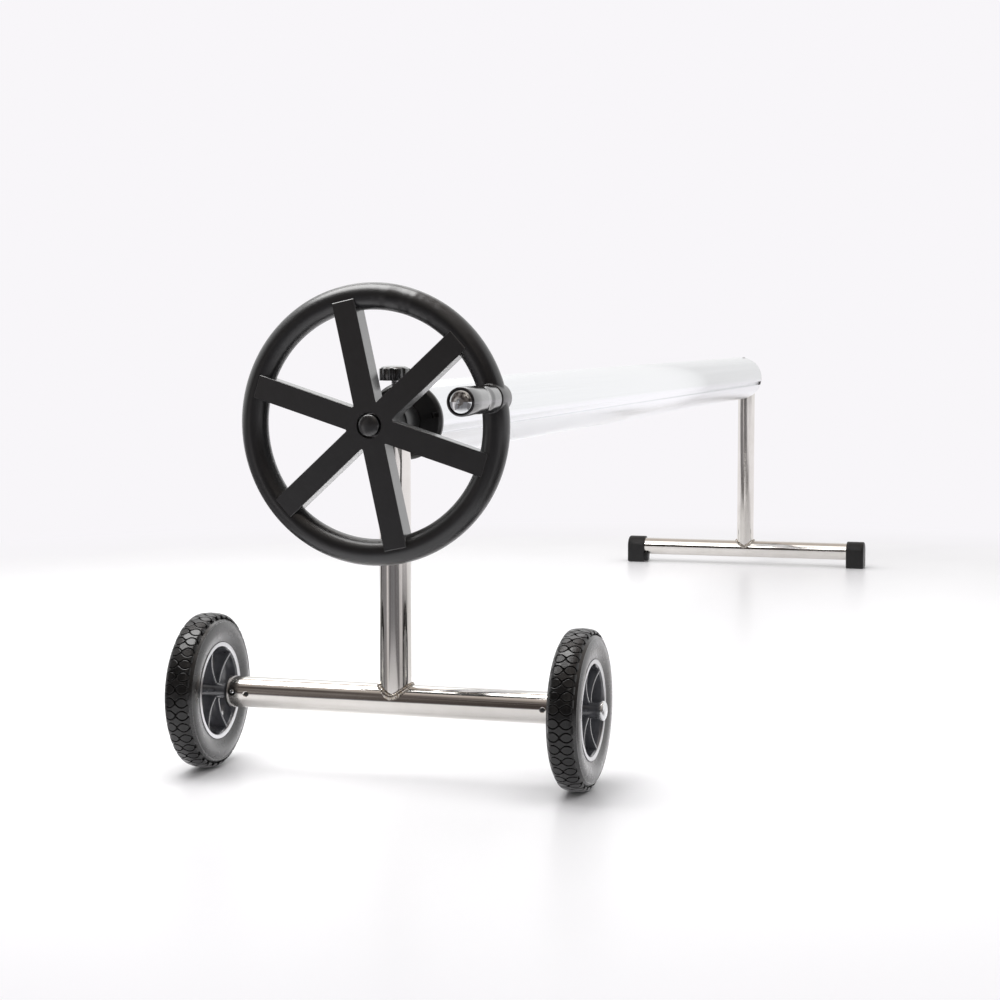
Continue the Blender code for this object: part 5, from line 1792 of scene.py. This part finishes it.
    def build_floor(self) -> None:
        """A white floor that keeps the stand's shadow and runs into the white surround."""
        bpy.ops.object.select_all(action="DESELECT")
        bpy.ops.mesh.primitive_circle_add(vertices=128, radius=self.floor_radius, fill_type="NGON")
        floor = bpy.context.active_object
        floor.name = "studio_floor"
        material = bpy.data.materials.new("polished_white_floor")
        tree = clear_tree(material)
        path = add_node(tree, "LightPath").outputs
        place = add_node(tree, "TexCoord").outputs["Object"]
        x = add_node(tree, "SeparateXYZ", {"Vector": place}).outputs["X"]
        tone = self.painted_floor_in_metal(tree, place)
        tint = {"data_type": "RGBA", "blend_type": "MULTIPLY"}
        # For glossy rays this base carries the painted reflection tones; for the camera it is plain
        # white.
        white = add_node(tree, "Mix", {0: 1.0, 6: tone, 7: self.floor_tone}, **tint)
        plain = add_node(tree, "Mix", {0: 1.0, 6: tone, 7: self.surround}, **tint)
        soft = add_node(tree, "TexNoise", {"Vector": place, "Scale": 6.0, "Detail": 3.0})
        rough = add_node(tree, "MapRange", {"Value": soft, "To Min": 0.26, "To Max": 0.38})
        paint = {"Base Color": white, "Roughness": rough, "IOR": 1.3}
        lit = add_node(tree, "BsdfPrincipled", paint)
        # The floor glows evenly for the camera, but ambient occlusion takes the glow away close
        # under the wheels and feet: painted contact shade.
        clear = add_node(tree, "AmbientOcclusion", {"Distance": 0.08}, samples=8).outputs["AO"]
        glow: Source = path["Is Camera Ray"]
        for share in (self.floor_glow, clear, clear):
            glow = add_node(tree, "Math", {0: glow, 1: share}, operation="MULTIPLY")
        # For glossy rays the floor glows as well, more near the stand and more towards the far end:
        # painted light in what metal and rubber reflect.
        span = {"From Min": -0.6, "From Max": 0.0, "To Min": self.near_painted_glow, "To Max": 0.0}
        close = add_node(tree, "MapRange", {"Value": x, **span})
        span = {"From Min": -0.3, "From Max": 1.5, "To Min": 0.0, "To Max": self.metal_painted_glow}
        further = add_node(tree, "MapRange", {"Value": x, **span})
        shown = add_node(tree, "Math", {0: close, 1: further}, operation="ADD")
        terms = {0: path["Is Glossy Ray"], 1: shown, 2: glow}
        level = add_node(tree, "Math", terms, operation="MULTIPLY_ADD")
        lift = add_node(tree, "Emission", {"Color": plain, "Strength": level})
        near = add_node(tree, "AddShader", {0: lit, 1: lift})
        # Far out the floor is the plain surround, brighter for glossy rays: painted light in
        # reflections.
        terms = {"Value": path["Is Glossy Ray"], "To Min": 1.0, "To Max": self.far_floor_painted_glow}
        brighter = add_node(tree, "MapRange", terms)
        far = add_node(tree, "Emission", {"Color": plain, "Strength": brighter})
        run = add_node(tree, "VectorMath", {0: place}, operation="LENGTH")
        share = self.product(tree, 1.0, [(run, 1.5, 2.4)])
        mixed = add_node(tree, "MixShader", {0: share, 1: near, 2: far})
        add_node(tree, "OutputMaterial", {"Surface": mixed})
        floor.data.materials.append(material)

    def add_lamp(
        self,
        name: str,
        place: Sequence[float],
        size: tuple[float, float],
        level: float,
        mirrored: bool,
        lighting: bool = True,
    ) -> None:
        """Adds a soft rectangular lamp that points down.

        Args:
            name: The lamp's name.
            place: Its centre.
            size: Its sides along X and Y.
            level: How bright its face is, where white paper is 1.
            mirrored: Whether shiny surfaces show it.
            lighting: Whether it also lights matt surfaces.
        """
        data = bpy.data.lights.new(name, "AREA")
        data.shape = "RECTANGLE"
        data.size, data.size_y = size
        data.energy = level * math.pi * size[0] * size[1]
        lamp = bpy.data.objects.new(name, data)
        bpy.context.scene.collection.objects.link(lamp)
        lamp.location = place
        lamp.visible_camera = False
        lamp.visible_glossy = mirrored
        lamp.visible_diffuse = lighting

    def studio_in_metal(self, tree: Tree, way: Source) -> bpy.types.Node:
        """What metal shows beyond the floor.

        That is a white backdrop on the far side, the grey room on the near side, a pale wall with
        dark equipment straight ahead of the hand wheel, and the ceiling above.

        Args:
            tree: The world's node tree.
            way: The direction of a reflection.

        Returns:
            The colour in that direction.
        """
        turn = self.heading(tree, way)
        height = add_node(tree, "SeparateXYZ", {"Vector": way}).outputs["Z"]
        around = add_node(tree, "ValToRGB", {"Fac": turn}, BACKDROP)
        things = add_node(tree, "TexNoise", {"Vector": way, "Scale": 3.2, "Detail": 2.0})
        room = add_node(tree, "ValToRGB", {"Fac": things}, ROOM_TONES)
        lit = add_node(tree, "Mix", {0: around, 6: room, 7: "#ffffff"}, data_type="RGBA")
        ahead = add_node(tree, "ValToRGB", {"Fac": turn}, WALL_AHEAD)
        spots = add_node(tree, "TexNoise", {"Vector": way, "Scale": 7.0, "Detail": 1.0})
        wall = add_node(tree, "ValToRGB", {"Fac": spots}, WALL_TONES)
        share = self.product(tree, ahead, [(height, 0.22, 0.34)])
        sides = add_node(tree, "Mix", {0: share, 6: lit, 7: wall}, data_type="RGBA")
        above = self.product(tree, 1.0, [(height, 0.60, 0.90)])
        return add_node(tree, "Mix", {0: above, 6: sides, 7: self.ceiling}, data_type="RGBA")

    def build_world(self) -> None:
        """White for the camera, plain light on the object, and the studio in its reflections."""
        world = bpy.data.worlds.new("white_studio")
        bpy.context.scene.world = world
        tree = clear_tree(world)
        path = add_node(tree, "LightPath").outputs
        way = add_node(tree, "TexCoord").outputs["Generated"]
        seen = add_node(tree, "Background", {"Color": self.surround, "Strength": 1.0})
        room = {"Color": self.studio_in_metal(tree, way), "Strength": 1.0}
        mirrored = add_node(tree, "Background", room)
        lighting = add_node(tree, "Background", {"Color": "#ffffff", "Strength": 0.4})
        layers = {0: path["Is Glossy Ray"], 1: lighting, 2: mirrored}
        shiny = add_node(tree, "MixShader", layers)
        rays = {0: path["Is Camera Ray"], 1: path["Is Transmission Ray"]}
        direct = add_node(tree, "Math", rays, operation="MAXIMUM")
        final = add_node(tree, "MixShader", {0: direct, 1: shiny, 2: seen})
        add_node(tree, "OutputWorld", {"Surface": final})


def main() -> None:
    """Builds the stage and the whole reel."""
    logging.basicConfig(level=logging.INFO, format="%(message)s")
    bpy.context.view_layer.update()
    Studio().build()
    NearStand("near", NEAR_X, 0.100, 0.447, Body.NEAR_STAND).build()
    FarStand("far", FAR_X, 0.038, 0.560, Body.FAR_STAND).build()
    Brake().build()
    TransportWheel("left", 0.2576, Body.WHEEL_LEFT).build()
    TransportWheel("right", -0.2396, Body.WHEEL_RIGHT).build()
    Reel().build()
    HandWheel().build()


if __name__ == "__main__":
    main()
